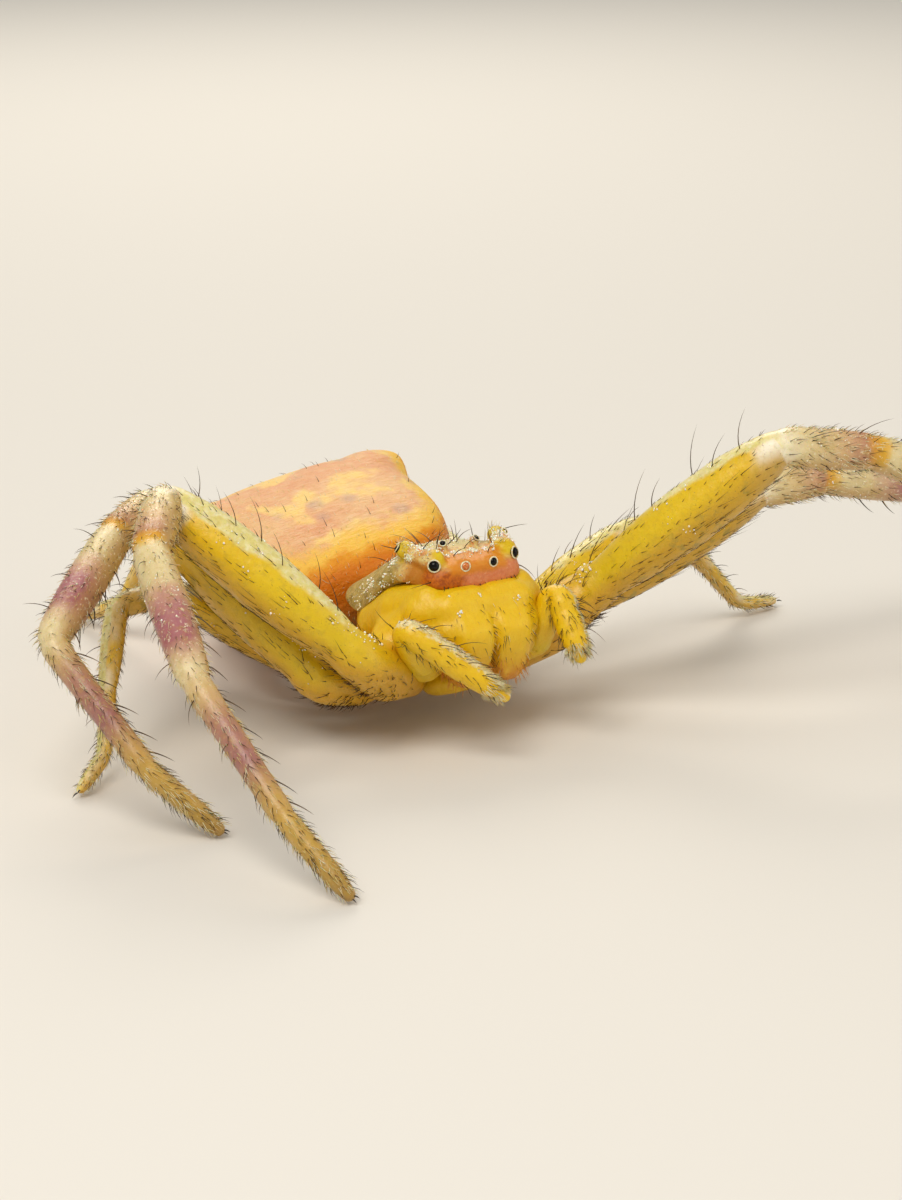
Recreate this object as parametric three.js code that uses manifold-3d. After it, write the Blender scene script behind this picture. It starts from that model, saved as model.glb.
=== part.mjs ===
// A crab spider standing still on eight feet, in millimetres.
// It faces -Y, its left side is +X, and the ground is z = 0.
import * as THREE from "three";
import { mergeVertices } from "three/addons/utils/BufferGeometryUtils.js";
import Module from "manifold-3d";

const wasm = await Module();
wasm.setup();

// Driving dimensions of the body. Heights are above the ground.
const carapace = {
  front: -1.72,
  back: 1.62,
  halfWidth: 1.29,
  faceHalfWidth: 0.9,
  marginHeight: 1.7,
  faceBottom: 2.52,
  crownHeight: 3.06,
  backHeight: 2.05,
};
const chestBlock = { halfWidth: 1.08, halfLength: 1.32, bottom: 0.46, top: 2.3 };
const cheek = { back: [1.02, -0.2, 1.72], front: [0.8, -1.46, 2.3], radii: [0.4, 0.48, 0.42] };
const abdomen = {
  front: 1.62,
  back: 5.66,
  frontHalfWidth: 2.0,
  backHalfWidth: 2.36,
  axisHeight: 1.62,
  frontHeight: 2.56,
  backHeight: 3.02,
  bellyHeight: 0.5,
  corner: [2.16, 4.9, 2.42],
  tilt: [-1, -10], // nods down behind and rolls its left side up, about the waist, in degrees
};
const waistPlace = [0, 1.5, 1.68];
const eyeHeight = 2.94;
const eyeFront = -1.65;
const gap = 0.05; // left between neighbours
const weld = 1e-4; // vertices nearer than this are one

// The eight eyes: place from the middle of the face (across, back, up) and radius.
const eyes = {
  anterior_median: { across: 0.25, back: 0.03, up: 0, radius: 0.095 },
  anterior_lateral: { across: 0.71, back: 0.19, up: 0.03, radius: 0.12 },
  posterior_median: { across: 0.3, back: 0.63, up: 0.2, radius: 0.075 },
  posterior_lateral: { across: 0.95, back: 0.86, up: 0.14, radius: 0.1 },
};

// Radii of the leg segments at their start, middle and end.
const strongLeg = {
  coxa: [0.3, 0.54, 0.42],
  femur: [0.38, 0.52, 0.35],
  patella: [0.34, 0.34, 0.32],
  tibia: [0.32, 0.34, 0.28],
  metatarsus: [0.28, 0.27, 0.27],
  tarsus: [0.27, 0.27, 0.27],
};
const weakLeg = {
  coxa: [0.28, 0.42, 0.33],
  femur: [0.31, 0.38, 0.29],
  patella: [0.29, 0.29, 0.28],
  tibia: [0.28, 0.28, 0.27],
  metatarsus: [0.27, 0.27, 0.27],
  tarsus: [0.27, 0.27, 0.27],
};
const segments = ["femur", "patella", "tibia", "metatarsus", "tarsus"];
const legPairs = {
  1: { lengths: [4.0, 1.6, 2.8, 2.55, 1.45], radii: strongLeg, rootBack: -0.85 },
  2: { lengths: [3.9, 1.33, 2.85, 2.45, 1.4], radii: strongLeg, rootBack: -0.28 },
  3: { lengths: [2.4, 1.1, 1.5, 1.15, 0.9], radii: weakLeg, rootBack: 0.3 },
  4: { lengths: [2.7, 1.1, 1.75, 1.35, 0.9], radii: weakLeg, rootBack: 0.85 },
};
const rootOut = 0.8; // where a coxa starts, in the side of the chest
const rootHeight = 0.88;
const toeHeight = 0.14; // centre of a foot's tip, whose underside is cut flat on the ground

// How each leg stands. The hip is the joint of the femur, the heading is turned out from
// straight ahead, the lean lays the leg's plane towards the back, and each pitch is a
// segment's climb within that plane, in degrees.
const stance = {
  right_leg_1: { hip: [2.15, -1.7, 1.67], heading: 50, lean: 51, pitch: [82, -21, -47, -66, -78] },
  right_leg_2: { hip: [2.42, -0.77, 1.12], heading: 65, lean: 48, pitch: [82, -13, -26, -90, -109] },
  right_leg_3: { hip: [2.14, 0.46, 0.98], heading: 84, lean: 40, pitch: [45, -3, -62, -66, -43] },
  right_leg_4: { hip: [2.05, 1.25, 1.1], heading: 168, lean: 0, pitch: [30, -15, -55, -22, -5] },
  left_leg_1: { hip: [2.18, -1.54, 2.1], heading: 72, lean: -24, pitch: [45.5, -8, -25, -56, -70] },
  left_leg_2: { hip: [2.28, -0.59, 1.49], heading: 88, lean: -18, pitch: [29, 1, -13, -41, -56] },
  left_leg_3: { hip: [2.1, 0.4, 1.2], heading: 100, lean: 0, pitch: [24, -2, -44, -46, -10] },
  left_leg_4: { hip: [2.05, 1.25, 1.1], heading: 165, lean: 0, pitch: [4, -4, -22, -14, -6] },
};

// The palps: root, elbow and tip, and their radii.
const palps = {
  right: { root: [-1.02, -1.68, 1.42], elbow: [-1.56, -1.93, 2.2], tip: [-0.26, -2.9, 1.14] },
  left: { root: [1.02, -1.68, 1.42], elbow: [1.25, -2.0, 2.4], tip: [1.28, -2.7, 1.46] },
};
const palpRadii = { base: [0.27, 0.32, 0.27], end: [0.27, 0.28, 0.27] };

// Colours of the living animal.
const finishes = {
  carapace: { color: 0xd9c98a, roughness: 0.5 },
  sternum: { color: 0xcdb64a, roughness: 0.5 },
  face: { color: 0xd9b81c, roughness: 0.4 },
  abdomen: { color: 0xe0a483, roughness: 0.6 },
  femur: { color: 0xc9b41e, roughness: 0.35 },
  shank: { color: 0xd3bd92, roughness: 0.45 },
  foot: { color: 0xd2bd8c, roughness: 0.5 },
  eye: { color: 0x0b0a09, roughness: 0.08 },
};
const materials = {};
for (const [name, finish] of Object.entries(finishes)) {
  materials[name] = new THREE.MeshStandardMaterial({ ...finish, metalness: 0 });
}

// A closed geometry as a solid that can be joined and cut.
function solidOf(geometry) {
  const bare = new THREE.BufferGeometry();
  bare.setAttribute("position", geometry.getAttribute("position"));
  bare.setIndex(geometry.index);
  const merged = mergeVertices(bare, weld);
  const corners = merged.index.array;
  const kept = [];
  for (let i = 0; i < corners.length; i += 3) {
    const [a, b, c] = corners.slice(i, i + 3);
    if (a !== b && b !== c && c !== a) kept.push(a, b, c);
  }
  return new wasm.Manifold(
    new wasm.Mesh({
      numProp: 3,
      vertProperties: merged.getAttribute("position").array,
      triVerts: new Uint32Array(kept),
    }),
  );
}

// A solid as a named mesh whose own origin is at the joint or middle given as its pivot.
function meshOf(name, solid, pivot, material) {
  const made = solid.getMesh();
  const geometry = new THREE.BufferGeometry();
  geometry.setAttribute("position", new THREE.BufferAttribute(made.vertProperties, 3));
  geometry.setIndex(new THREE.BufferAttribute(made.triVerts, 1));
  geometry.translate(-pivot.x, -pivot.y, -pivot.z);
  const mesh = new THREE.Mesh(geometry, material);
  mesh.name = name;
  mesh.position.copy(pivot);
  return mesh;
}

// A radius that runs smoothly from its start through its middle to its end.
function radiusAt([start, middle, end], t) {
  return start * (1 - t) * (1 - 2 * t) + 4 * middle * t * (1 - t) + end * t * (2 * t - 1);
}

// A round limb between two points, with a rounded end on each, grown by an extra radius.
function limb(from, to, radii, { grow = 0, sides = 8, rings = 3, capRings = 2 } = {}) {
  const start = new THREE.Vector3(...from);
  const along = new THREE.Vector3(...to).sub(start);
  const length = along.length();
  const startRadius = radii[0] + grow;
  const endRadius = radii[2] + grow;
  const profile = [new THREE.Vector2(0, -startRadius)];
  for (let i = 1; i < capRings; i += 1) {
    const angle = (Math.PI / 2) * (i / capRings);
    profile.push(
      new THREE.Vector2(startRadius * Math.sin(angle), -startRadius * Math.cos(angle)),
    );
  }
  for (let i = 0; i <= rings; i += 1) {
    profile.push(new THREE.Vector2(radiusAt(radii, i / rings) + grow, (length * i) / rings));
  }
  for (let i = capRings - 1; i > 0; i -= 1) {
    const angle = (Math.PI / 2) * (i / capRings);
    profile.push(
      new THREE.Vector2(endRadius * Math.sin(angle), length + endRadius * Math.cos(angle)),
    );
  }
  profile.push(new THREE.Vector2(0, length + endRadius));
  const geometry = new THREE.LatheGeometry(profile, sides);
  const turn = new THREE.Quaternion().setFromUnitVectors(
    new THREE.Vector3(0, 1, 0),
    along.normalize(),
  );
  geometry.applyQuaternion(turn);
  geometry.translate(start.x, start.y, start.z);
  return solidOf(geometry);
}

// A ball turned into a body piece. The shape is asked, for each place from -1 at the front
// to 1 at the back, for the half width, the rise and the drop of its cross-section.
function bodyPiece(sides, rings, shape) {
  const geometry = new THREE.SphereGeometry(1, sides, rings);
  const position = geometry.getAttribute("position");
  for (let i = 0; i < position.count; i += 1) {
    const t = position.getY(i);
    const around = Math.atan2(position.getZ(i), position.getX(i));
    const onAxis = Math.abs(t) > 0.9999;
    const section = shape(Math.max(-1, Math.min(1, t)));
    const reach = onAxis ? 0 : 1;
    const up = Math.sin(around);
    position.setXYZ(
      i,
      reach * section.halfWidth * rounded(Math.cos(around), section.squareness),
      section.y,
      section.z + reach * rounded(up, section.squareness) * (up < 0 ? section.drop : section.rise),
    );
  }
  return solidOf(geometry);
}

// Cosine or sine drawn outwards, so that a circle becomes a rounded square.
function rounded(value, squareness = 1) {
  return Math.sign(value) * Math.abs(value) ** squareness;
}

// How full a section is between blunt ends, 1 in the middle and 0 at each end.
function blunt(t, power) {
  return (1 - Math.abs(t) ** power) ** (1 / power);
}

// A smooth step from 0 to 1 between two places, and a mix of two values by such a share.
const ease = THREE.MathUtils.smoothstep;
const mix = THREE.MathUtils.lerp;

// The shield over head and chest: blunt and steep in front, widest behind its middle,
// falling to the waist, with a horn on each side that carries two eyes.
function carapaceSolid(grow) {
  const middle = (carapace.front + carapace.back) / 2;
  const halfLength = (carapace.back - carapace.front) / 2 + grow;
  const bend = 0.12; // from the margin up to the widest line
  const shield = bodyPiece(18, 11, (t) => {
    const s = Math.sin((t * Math.PI) / 2);
    const y = middle + halfLength * s;
    const closing = s < 0 ? blunt(s, 8) : blunt(s, 2.1);
    const width = mix(carapace.faceHalfWidth, carapace.halfWidth, ease(s, -1, -0.1));
    const bottom = mix(carapace.faceBottom, carapace.marginHeight, ease(y, -1, 0.2));
    const top = mix(carapace.crownHeight, carapace.backHeight, ease(y, -0.7, 1.9));
    return {
      y,
      z: bottom + bend,
      halfWidth: width * closing + grow,
      rise: (top - bottom - bend) * closing + grow,
      drop: bend * closing + grow,
      squareness: mix(0.75, 1.2, ease(s, -0.6, 0.2)),
    };
  });
  let whole = shield;
  for (const side of [-1, 1]) {
    const front = eyes.anterior_lateral;
    const rear = eyes.posterior_lateral;
    const ridge = limb(
      [side * (front.across - 0.04), eyeFront + front.back + 0.12, eyeHeight + front.up + 0.02],
      [side * (rear.across - 0.08), eyeFront + rear.back + 0.05, eyeHeight + rear.up + 0.02],
      [0.25, 0.22, 0.18],
      { grow, rings: 2 },
    );
    whole = whole.add(ridge);
  }
  return whole;
}

// The chest below the shield, between the roots of the legs, with the sternum as its
// underside and a cheek on each side that fills the corner between jaw and shield.
function chestSolid(grow) {
  const rise = (chestBlock.top - chestBlock.bottom) / 2 + grow;
  const block = bodyPiece(12, 6, (t) => {
    const s = Math.sin((t * Math.PI) / 2);
    const closing = blunt(s, 2.4);
    return {
      y: (chestBlock.halfLength + grow) * s,
      z: (chestBlock.top + chestBlock.bottom) / 2,
      halfWidth: (chestBlock.halfWidth + grow) * closing,
      rise: rise * closing,
      drop: rise * closing,
      squareness: 0.8,
    };
  });
  let whole = block;
  for (const side of [-1, 1]) {
    const [back, front] = [cheek.back, cheek.front].map(([x, y, z]) => [side * x, y, z]);
    whole = whole.add(limb(back, front, cheek.radii, { grow, sides: 6, rings: 1 }));
  }
  return whole;
}

// The abdomen: narrower in front, a blunt bump at each rear corner, flat-topped and deep.
function abdomenSolid(grow) {
  const middle = (abdomen.front + abdomen.back) / 2;
  const halfLength = (abdomen.back - abdomen.front) / 2 + grow;
  const sack = bodyPiece(20, 11, (t) => {
    const s = Math.sin((t * Math.PI) / 2);
    const along = (s + 1) / 2;
    const closing = s < 0 ? blunt(s, 2.8) : blunt(s, 3.4);
    const top = mix(abdomen.frontHeight, abdomen.backHeight, ease(along, 0, 0.8));
    return {
      y: middle + halfLength * s,
      z: abdomen.axisHeight,
      halfWidth: mix(abdomen.frontHalfWidth, abdomen.backHalfWidth, along) * closing + grow,
      rise: (top - abdomen.axisHeight) * closing + grow,
      drop: (abdomen.axisHeight - abdomen.bellyHeight) * closing + grow,
      squareness: 0.6,
    };
  });
  let whole = sack;
  const [across, along, height] = abdomen.corner;
  for (const side of [-1, 1]) {
    const corner = limb(
      [side * (across - 0.8), along - 0.35, height - 0.3],
      [side * across, along, height],
      [0.86, 0.66, 0.3],
      { grow, sides: 10, rings: 3 },
    );
    whole = whole.add(corner);
  }
  const [nod, roll] = abdomen.tilt;
  const [x, y, z] = waistPlace;
  return whole.translate([-x, -y, -z]).rotate([nod, roll, 0]).translate([x, y, z]);
}

// One jaw: a stout upright block under the face, which tapers to the fang.
const jaw = {
  across: 0.37,
  halfWidth: 0.36,
  top: 2.66,
  bottom: 0.98,
  front: -2.36,
  back: -1.36,
  setback: 0.4, // how far the front slopes back towards the top
};
function jawSolid(side) {
  const middle = (jaw.front + jaw.back) / 2;
  const depth = (jaw.back - jaw.front) / 2;
  const tall = jaw.top - jaw.bottom;
  const upright = bodyPiece(10, 8, (t) => {
    const s = Math.sin((t * Math.PI) / 2);
    const closing = blunt(s, s < 0 ? 8 : 4);
    const taper = 1 - 0.22 * ease(s, 0, 1);
    const frontDepth = depth - jaw.setback * (1 - ease(s, -1, -0.3));
    return {
      y: (tall / 2) * s,
      z: 0,
      halfWidth: jaw.halfWidth * closing * taper,
      rise: depth * closing * taper,
      drop: frontDepth * closing * taper,
      squareness: 0.55,
    };
  });
  return upright
    .rotate([-90, 0, 0])
    .translate([side * jaw.across, middle, (jaw.top + jaw.bottom) / 2])
    .trimByPlane([side, 0, 0], gap / 2)
    .subtract(carapaceSolid(gap))
    .subtract(chestSolid(gap));
}

// The joints of a leg, from the hip to the tip of the foot.
function legJoints(name) {
  const { hip, heading, lean, pitch } = stance[name];
  const side = name.startsWith("right") ? -1 : 1;
  const { lengths } = legPairs[name.slice(-1)];
  const turn = THREE.MathUtils.degToRad(heading);
  const tilt = THREE.MathUtils.degToRad(lean);
  const out = new THREE.Vector3(side * Math.sin(turn), -Math.cos(turn), 0);
  const back = new THREE.Vector3(side * Math.cos(turn), Math.sin(turn), 0);
  const up = new THREE.Vector3(0, 0, Math.cos(tilt)).addScaledVector(back, Math.sin(tilt));
  const joints = [new THREE.Vector3(side * hip[0], hip[1], hip[2])];
  segments.forEach((segment, i) => {
    const climb = THREE.MathUtils.degToRad(pitch[i]);
    const next = joints[i]
      .clone()
      .addScaledVector(out, lengths[i] * Math.cos(climb))
      .addScaledVector(up, lengths[i] * Math.sin(climb));
    joints.push(next);
  });
  joints.at(-1).z = toeHeight;
  return joints;
}

// The joints of a leg from its root under the carapace to the tip of its foot.
function wholeLeg(name) {
  const side = name.startsWith("right") ? -1 : 1;
  const { rootBack } = legPairs[name.slice(-1)];
  return [new THREE.Vector3(side * rootOut, rootBack, rootHeight), ...legJoints(name)];
}

// A coxa, which starts beside the sternum and carries the rest of the leg.
function coxaSolid(name, grow) {
  const [root, hip] = wholeLeg(name);
  const { radii } = legPairs[name.slice(-1)];
  return limb(root.toArray(), hip.toArray(), radii.coxa, { grow });
}

// Parts a limb from the next one at their joint, on the plane that halves the bend.
function partAtJoint(solid, before, joint, after, keepsBefore) {
  const normal = joint.clone().sub(before).normalize();
  normal.add(after.clone().sub(joint).normalize()).normalize();
  if (keepsBefore) normal.negate();
  return solid.trimByPlane(normal.toArray(), normal.dot(joint) + gap / 2);
}

const spider = new THREE.Group();
const chest = new THREE.Group();
const rear = new THREE.Group();
spider.add(chest, rear);

// Head and chest.
const eyePlaces = [];
for (const [name, eye] of Object.entries(eyes)) {
  for (const side of [-1, 1]) {
    const label = side < 0 ? "right" : "left";
    const place = new THREE.Vector3(side * eye.across, eyeFront + eye.back, eyeHeight + eye.up);
    eyePlaces.push({ name: `eye_${name}_${label}`, place, radius: eye.radius });
  }
}
function eyeBall({ place, radius }, grow) {
  const geometry = new THREE.SphereGeometry(radius + grow, 8, 5);
  geometry.translate(place.x, place.y, place.z);
  return solidOf(geometry);
}
let shield = carapaceSolid(0);
for (const eye of eyePlaces) {
  shield = shield.subtract(eyeBall(eye, gap / 2));
  chest.add(meshOf(eye.name, eyeBall(eye, 0), eye.place, materials.eye));
}
const chestMiddle = new THREE.Vector3(0, 0, carapace.marginHeight);
chest.add(meshOf("carapace", shield, chestMiddle, materials.carapace));
const chestCut = chestSolid(0).subtract(carapaceSolid(gap));
chest.add(meshOf("sternum", chestCut, chestMiddle, materials.sternum));

// Jaws, and the plates between them and the sternum.
for (const side of [-1, 1]) {
  const label = side < 0 ? "right" : "left";
  const pivot = new THREE.Vector3(side * jaw.across, jaw.back, jaw.top);
  chest.add(meshOf(`jaw_${label}`, jawSolid(side), pivot, materials.face));
}
const mouthRadii = [0.26, 0.3, 0.26];
const mouth = limb([-0.42, -1.26, 0.9], [0.42, -1.26, 0.9], mouthRadii, { rings: 2 });
const mouthCut = mouth
  .subtract(chestSolid(gap))
  .trimByPlane([0, 1, 0], jaw.back + gap);
chest.add(
  meshOf("mouth_plates", mouthCut, new THREE.Vector3(0, -1.26, 0.9), materials.sternum),
);

// Waist, abdomen and the spinnerets under its end.
const waist = limb([0, 1.2, 1.66], [0, 2.0, 1.68], [0.27, 0.25, 0.27], { rings: 2 })
  .subtract(chestSolid(gap))
  .subtract(carapaceSolid(gap))
  .subtract(abdomenSolid(gap));
rear.add(meshOf("waist", waist, new THREE.Vector3(0, 1.6, 1.7), materials.sternum));
const abdomenPivot = new THREE.Vector3(0, abdomen.front, abdomen.axisHeight);
rear.add(meshOf("abdomen", abdomenSolid(0), abdomenPivot, materials.abdomen));
let spinnerets = limb([-0.2, 5.5, 1.2], [0.2, 5.5, 1.2], [0.26, 0.26, 0.26], { rings: 1 });
for (const side of [-1, 1]) {
  spinnerets = spinnerets.add(
    limb([side * 0.2, 5.5, 1.2], [side * 0.16, 5.9, 0.98], [0.24, 0.2, 0.14], { rings: 1 }),
  );
}
const spinneretPivot = new THREE.Vector3(0, 5.5, 1.2);
rear.add(
  meshOf(
    "spinnerets",
    spinnerets.subtract(abdomenSolid(gap)),
    spinneretPivot,
    materials.abdomen,
  ),
);

// Palps, each a base that rises to the elbow and an end that hangs from it.
for (const [label, palp] of Object.entries(palps)) {
  const root = new THREE.Vector3(...palp.root);
  const elbow = new THREE.Vector3(...palp.elbow);
  const tip = new THREE.Vector3(...palp.tip);
  const base = partAtJoint(
    limb(palp.root, palp.elbow, palpRadii.base)
      .subtract(coxaSolid(`${label}_leg_1`, gap))
      .subtract(chestSolid(gap)),
    root,
    elbow,
    tip,
    true,
  );
  const end = partAtJoint(
    limb(palp.elbow, palp.tip, palpRadii.end, { rings: 4 }),
    root,
    elbow,
    tip,
    false,
  );
  chest.add(meshOf(`palp_${label}_base`, base, root, materials.face));
  chest.add(meshOf(`palp_${label}_end`, end, elbow, materials.face));
}

// Legs. Each has its coxa, femur, patella and tibia, and the slender last two segments
// together as its foot, which is cut flat where it stands.
for (const name of Object.keys(stance)) {
  const leg = new THREE.Group();
  const label = name.split("_")[0];
  const pair = Number(name.slice(-1));
  const { radii } = legPairs[pair];
  const joints = wholeLeg(name);
  const kinds = ["coxa", ...segments];
  const pieces = kinds.map((kind, i) => {
    const from = joints[i];
    const to = joints[i + 1];
    const rings = kind === "femur" ? 3 : 2;
    let piece = limb(from.toArray(), to.toArray(), radii[kind], { rings });
    if (i > 0) piece = partAtJoint(piece, joints[i - 1], from, to, false);
    if (i < kinds.length - 1) piece = partAtJoint(piece, from, to, joints[i + 2], true);
    return piece;
  });
  const [coxa, femur, patella, tibia] = pieces;
  const shins = limb(joints[4].toArray(), joints[5].toArray(), radii.metatarsus, { rings: 1 });
  const toes = limb(joints[5].toArray(), joints[6].toArray(), radii.tarsus, { rings: 1 });
  const foot = partAtJoint(shins, joints[3], joints[4], joints[5], false)
    .add(toes)
    .trimByPlane([0, 0, 1], 0);
  let coxaCut = coxa.subtract(chestSolid(gap)).subtract(carapaceSolid(gap));
  if (pair > 1) coxaCut = coxaCut.subtract(coxaSolid(`${label}_leg_${pair - 1}`, gap));
  leg.add(meshOf(`${name}_coxa`, coxaCut, joints[0], materials.sternum));
  leg.add(meshOf(`${name}_femur`, femur, joints[1], materials.femur));
  leg.add(meshOf(`${name}_patella`, patella, joints[2], materials.shank));
  leg.add(meshOf(`${name}_tibia`, tibia, joints[3], materials.shank));
  leg.add(meshOf(`${name}_foot`, foot, joints[4], materials.foot));
  spider.add(leg);
}

// The model's origin is on the ground, under the middle of its outline.
const outline = new THREE.Box3().setFromObject(spider, true);
const middle = outline.getCenter(new THREE.Vector3());
spider.position.set(-middle.x, -middle.y, 0);
const group = new THREE.Group();
group.add(spider);

export default group;
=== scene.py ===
import math

import bmesh
import bpy
import numpy as np
from mathutils import Matrix, Vector
from mathutils.bvhtree import BVHTree


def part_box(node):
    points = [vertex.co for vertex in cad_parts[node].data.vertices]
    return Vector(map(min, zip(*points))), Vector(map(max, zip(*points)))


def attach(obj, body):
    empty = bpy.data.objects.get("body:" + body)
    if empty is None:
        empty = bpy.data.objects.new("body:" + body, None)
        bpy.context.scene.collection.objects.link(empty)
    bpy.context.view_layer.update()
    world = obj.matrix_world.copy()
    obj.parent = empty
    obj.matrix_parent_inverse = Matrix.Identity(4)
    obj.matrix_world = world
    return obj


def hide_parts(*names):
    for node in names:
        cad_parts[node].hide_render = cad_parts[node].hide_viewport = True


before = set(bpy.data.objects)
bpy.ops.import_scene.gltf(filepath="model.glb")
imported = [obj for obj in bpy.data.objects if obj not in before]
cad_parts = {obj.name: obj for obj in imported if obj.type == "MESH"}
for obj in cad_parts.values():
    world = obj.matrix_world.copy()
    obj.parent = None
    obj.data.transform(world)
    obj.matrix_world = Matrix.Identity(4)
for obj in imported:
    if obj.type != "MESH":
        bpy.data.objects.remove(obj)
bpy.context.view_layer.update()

# Camera. It looks down a little on the spider's right front, from five centimetres
# away, with a long lens, as a close-up is taken.
MM = 0.001
FACE = Vector((0, -1.65, 2.94))  # the middle of the front eyes, which the view is set on
EYE_DESIGNED = Vector((0.25, -1.62, 2.94))  # left front middle eye before centring
low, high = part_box("eye_anterior_median_left")
CENTRING = (Vector(low) + Vector(high)) * 0.5 / MM - EYE_DESIGNED
AZIMUTH = math.radians(-30)
ELEVATION = math.radians(18)
DISTANCE = 49.5
FOCAL_PIXELS = 3105
IMAGE_SIZE = (902, 1200)
FACE_PIXEL = (478.7, 563.9)


def placed(point):
    """A point of the design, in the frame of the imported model, in metres."""
    return (Vector(point) + CENTRING) * MM


right = Vector((math.cos(AZIMUTH), math.sin(AZIMUTH), 0))
forward = Vector(
    (
        -math.sin(AZIMUTH) * math.cos(ELEVATION),
        math.cos(AZIMUTH) * math.cos(ELEVATION),
        -math.sin(ELEVATION),
    )
)
upward = right.cross(forward)
aside = (FACE_PIXEL[0] - IMAGE_SIZE[0] / 2) / FOCAL_PIXELS
above = (IMAGE_SIZE[1] / 2 - FACE_PIXEL[1]) / FOCAL_PIXELS
lens_place = FACE - (forward + right * aside + upward * above) * DISTANCE
camera_data = bpy.data.cameras.new("close_up")
camera_data.sensor_width = 36
camera_data.lens = FOCAL_PIXELS * 36 / IMAGE_SIZE[1]
camera_data.clip_start = 0.002
camera_data.clip_end = 5
camera = bpy.data.objects.new("close_up", camera_data)
bpy.context.scene.collection.objects.link(camera)
turn = Matrix((right, upward, -forward)).transposed().to_4x4()
camera.matrix_world = Matrix.Translation(placed(lens_place)) @ turn
bpy.context.scene.camera = camera
bpy.context.scene.view_settings.view_transform = "Standard"


# Cuticle of the legs. Spider cuticle is a tanned, slightly see-through shell over pale
# flesh: yellow on the thighs, cream with pinkish bands beyond the knee. The underside of
# each leg is darkened with painted shade.
def linear(code):
    """An sRGB hex colour as linear red, green, blue and alpha."""
    parts = [int(code[i : i + 2], 16) / 255 for i in (1, 3, 5)]
    return [p / 12.92 if p <= 0.04045 else ((p + 0.055) / 1.055) ** 2.4 for p in parts] + [1]


def node(tree, kind, settings=None, **links):
    """Adds a node, sets its properties and inputs, and links those given as sockets."""
    made = tree.nodes.new(kind)
    for name, value in (settings or {}).items():
        setattr(made, name, value)
    for name, value in links.items():
        key = int(name[1:]) if name[0] == "i" and name[1:].isdigit() else name.replace("_", " ")
        socket = made.inputs[key]
        if isinstance(value, bpy.types.NodeSocket):
            tree.links.new(value, socket)
        else:
            socket.default_value = value
    return made


def new_material(name):
    """An empty material with a Principled shader, and its tree."""
    material = bpy.data.materials.new(name)
    material.use_nodes = True
    return material, material.node_tree, material.node_tree.nodes["Principled BSDF"]


def ramp(tree, factor, stops, interpolation="LINEAR"):
    """A colour ramp over the given factor, from pairs of place and hex colour."""
    made = node(tree, "ShaderNodeValToRGB", Fac=factor)
    made.color_ramp.interpolation = interpolation
    elements = made.color_ramp.elements
    while len(elements) > 1:
        elements.remove(elements[-1])
    elements[0].position = stops[0][0]
    elements[0].color = linear(stops[0][1])
    for place, code in stops[1:]:
        elements.new(place).color = linear(code)
    return made.outputs["Color"]


def attribute(tree, name, output="Fac"):
    """A value that the mesh carries at each of its points."""
    return node(tree, "ShaderNodeAttribute", {"attribute_name": name}).outputs[output]


def maths(tree, operation, first, second=0.0, clamp=False):
    """One sum on two values."""
    settings = {"operation": operation, "use_clamp": clamp}
    return node(tree, "ShaderNodeMath", settings, i0=first, i1=second).outputs[0]


def spread(tree, value, low_in, high_in, low_out=0.0, high_out=1.0):
    """A value moved smoothly from one range to another."""
    made = node(tree, "ShaderNodeMapRange", {"interpolation_type": "SMOOTHSTEP"}, Value=value)
    for name, number in (
        ("From Min", low_in),
        ("From Max", high_in),
        ("To Min", low_out),
        ("To Max", high_out),
    ):
        made.inputs[name].default_value = number
    return made.outputs["Result"]


def blend(tree, share, first, second, kind="MIX"):
    """Two colours, or sockets of colours, mixed by a share."""
    made = node(tree, "ShaderNodeMix", {"data_type": "RGBA", "blend_type": kind}, i0=share)
    for index, value in ((6, first), (7, second)):
        if isinstance(value, bpy.types.NodeSocket):
            tree.links.new(value, made.inputs[index])
        else:
            made.inputs[index].default_value = linear(value)
    return made.outputs[2]


def clouds(tree, scale, detail=3.0, rough=0.55, name="spot", squash=None):
    """Noise over the design's own millimetres, which the mesh carries as an attribute."""
    vector = attribute(tree, name, "Vector")
    if squash:
        vector = node(
            tree, "ShaderNodeMapping", Vector=vector, Scale=Vector(squash)
        ).outputs["Vector"]
    made = node(
        tree, "ShaderNodeTexNoise", Vector=vector, Scale=scale, Detail=detail, Roughness=rough
    )
    return made.outputs["Fac"]


def relief(tree, height, distance, strength=1.0, under=None):
    """Bump of a height in metres, over another bump if one is given."""
    made = node(
        tree, "ShaderNodeBump", Height=height, Distance=distance, Strength=strength
    )
    if under is not None:
        tree.links.new(under, made.inputs["Normal"])
    return made.outputs["Normal"]


leg_cuticle, tree, shader = new_material("leg_cuticle_translucent_tanned")
along = maths(tree, "DIVIDE", attribute(tree, "along"), 6.0)
top = attribute(tree, "top")
patches = clouds(tree, 2.2)
wander = maths(tree, "MULTIPLY", maths(tree, "SUBTRACT", clouds(tree, 1.6), 0.5), 0.035)
along_uneven = maths(tree, "ADD", along, wander)
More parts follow.
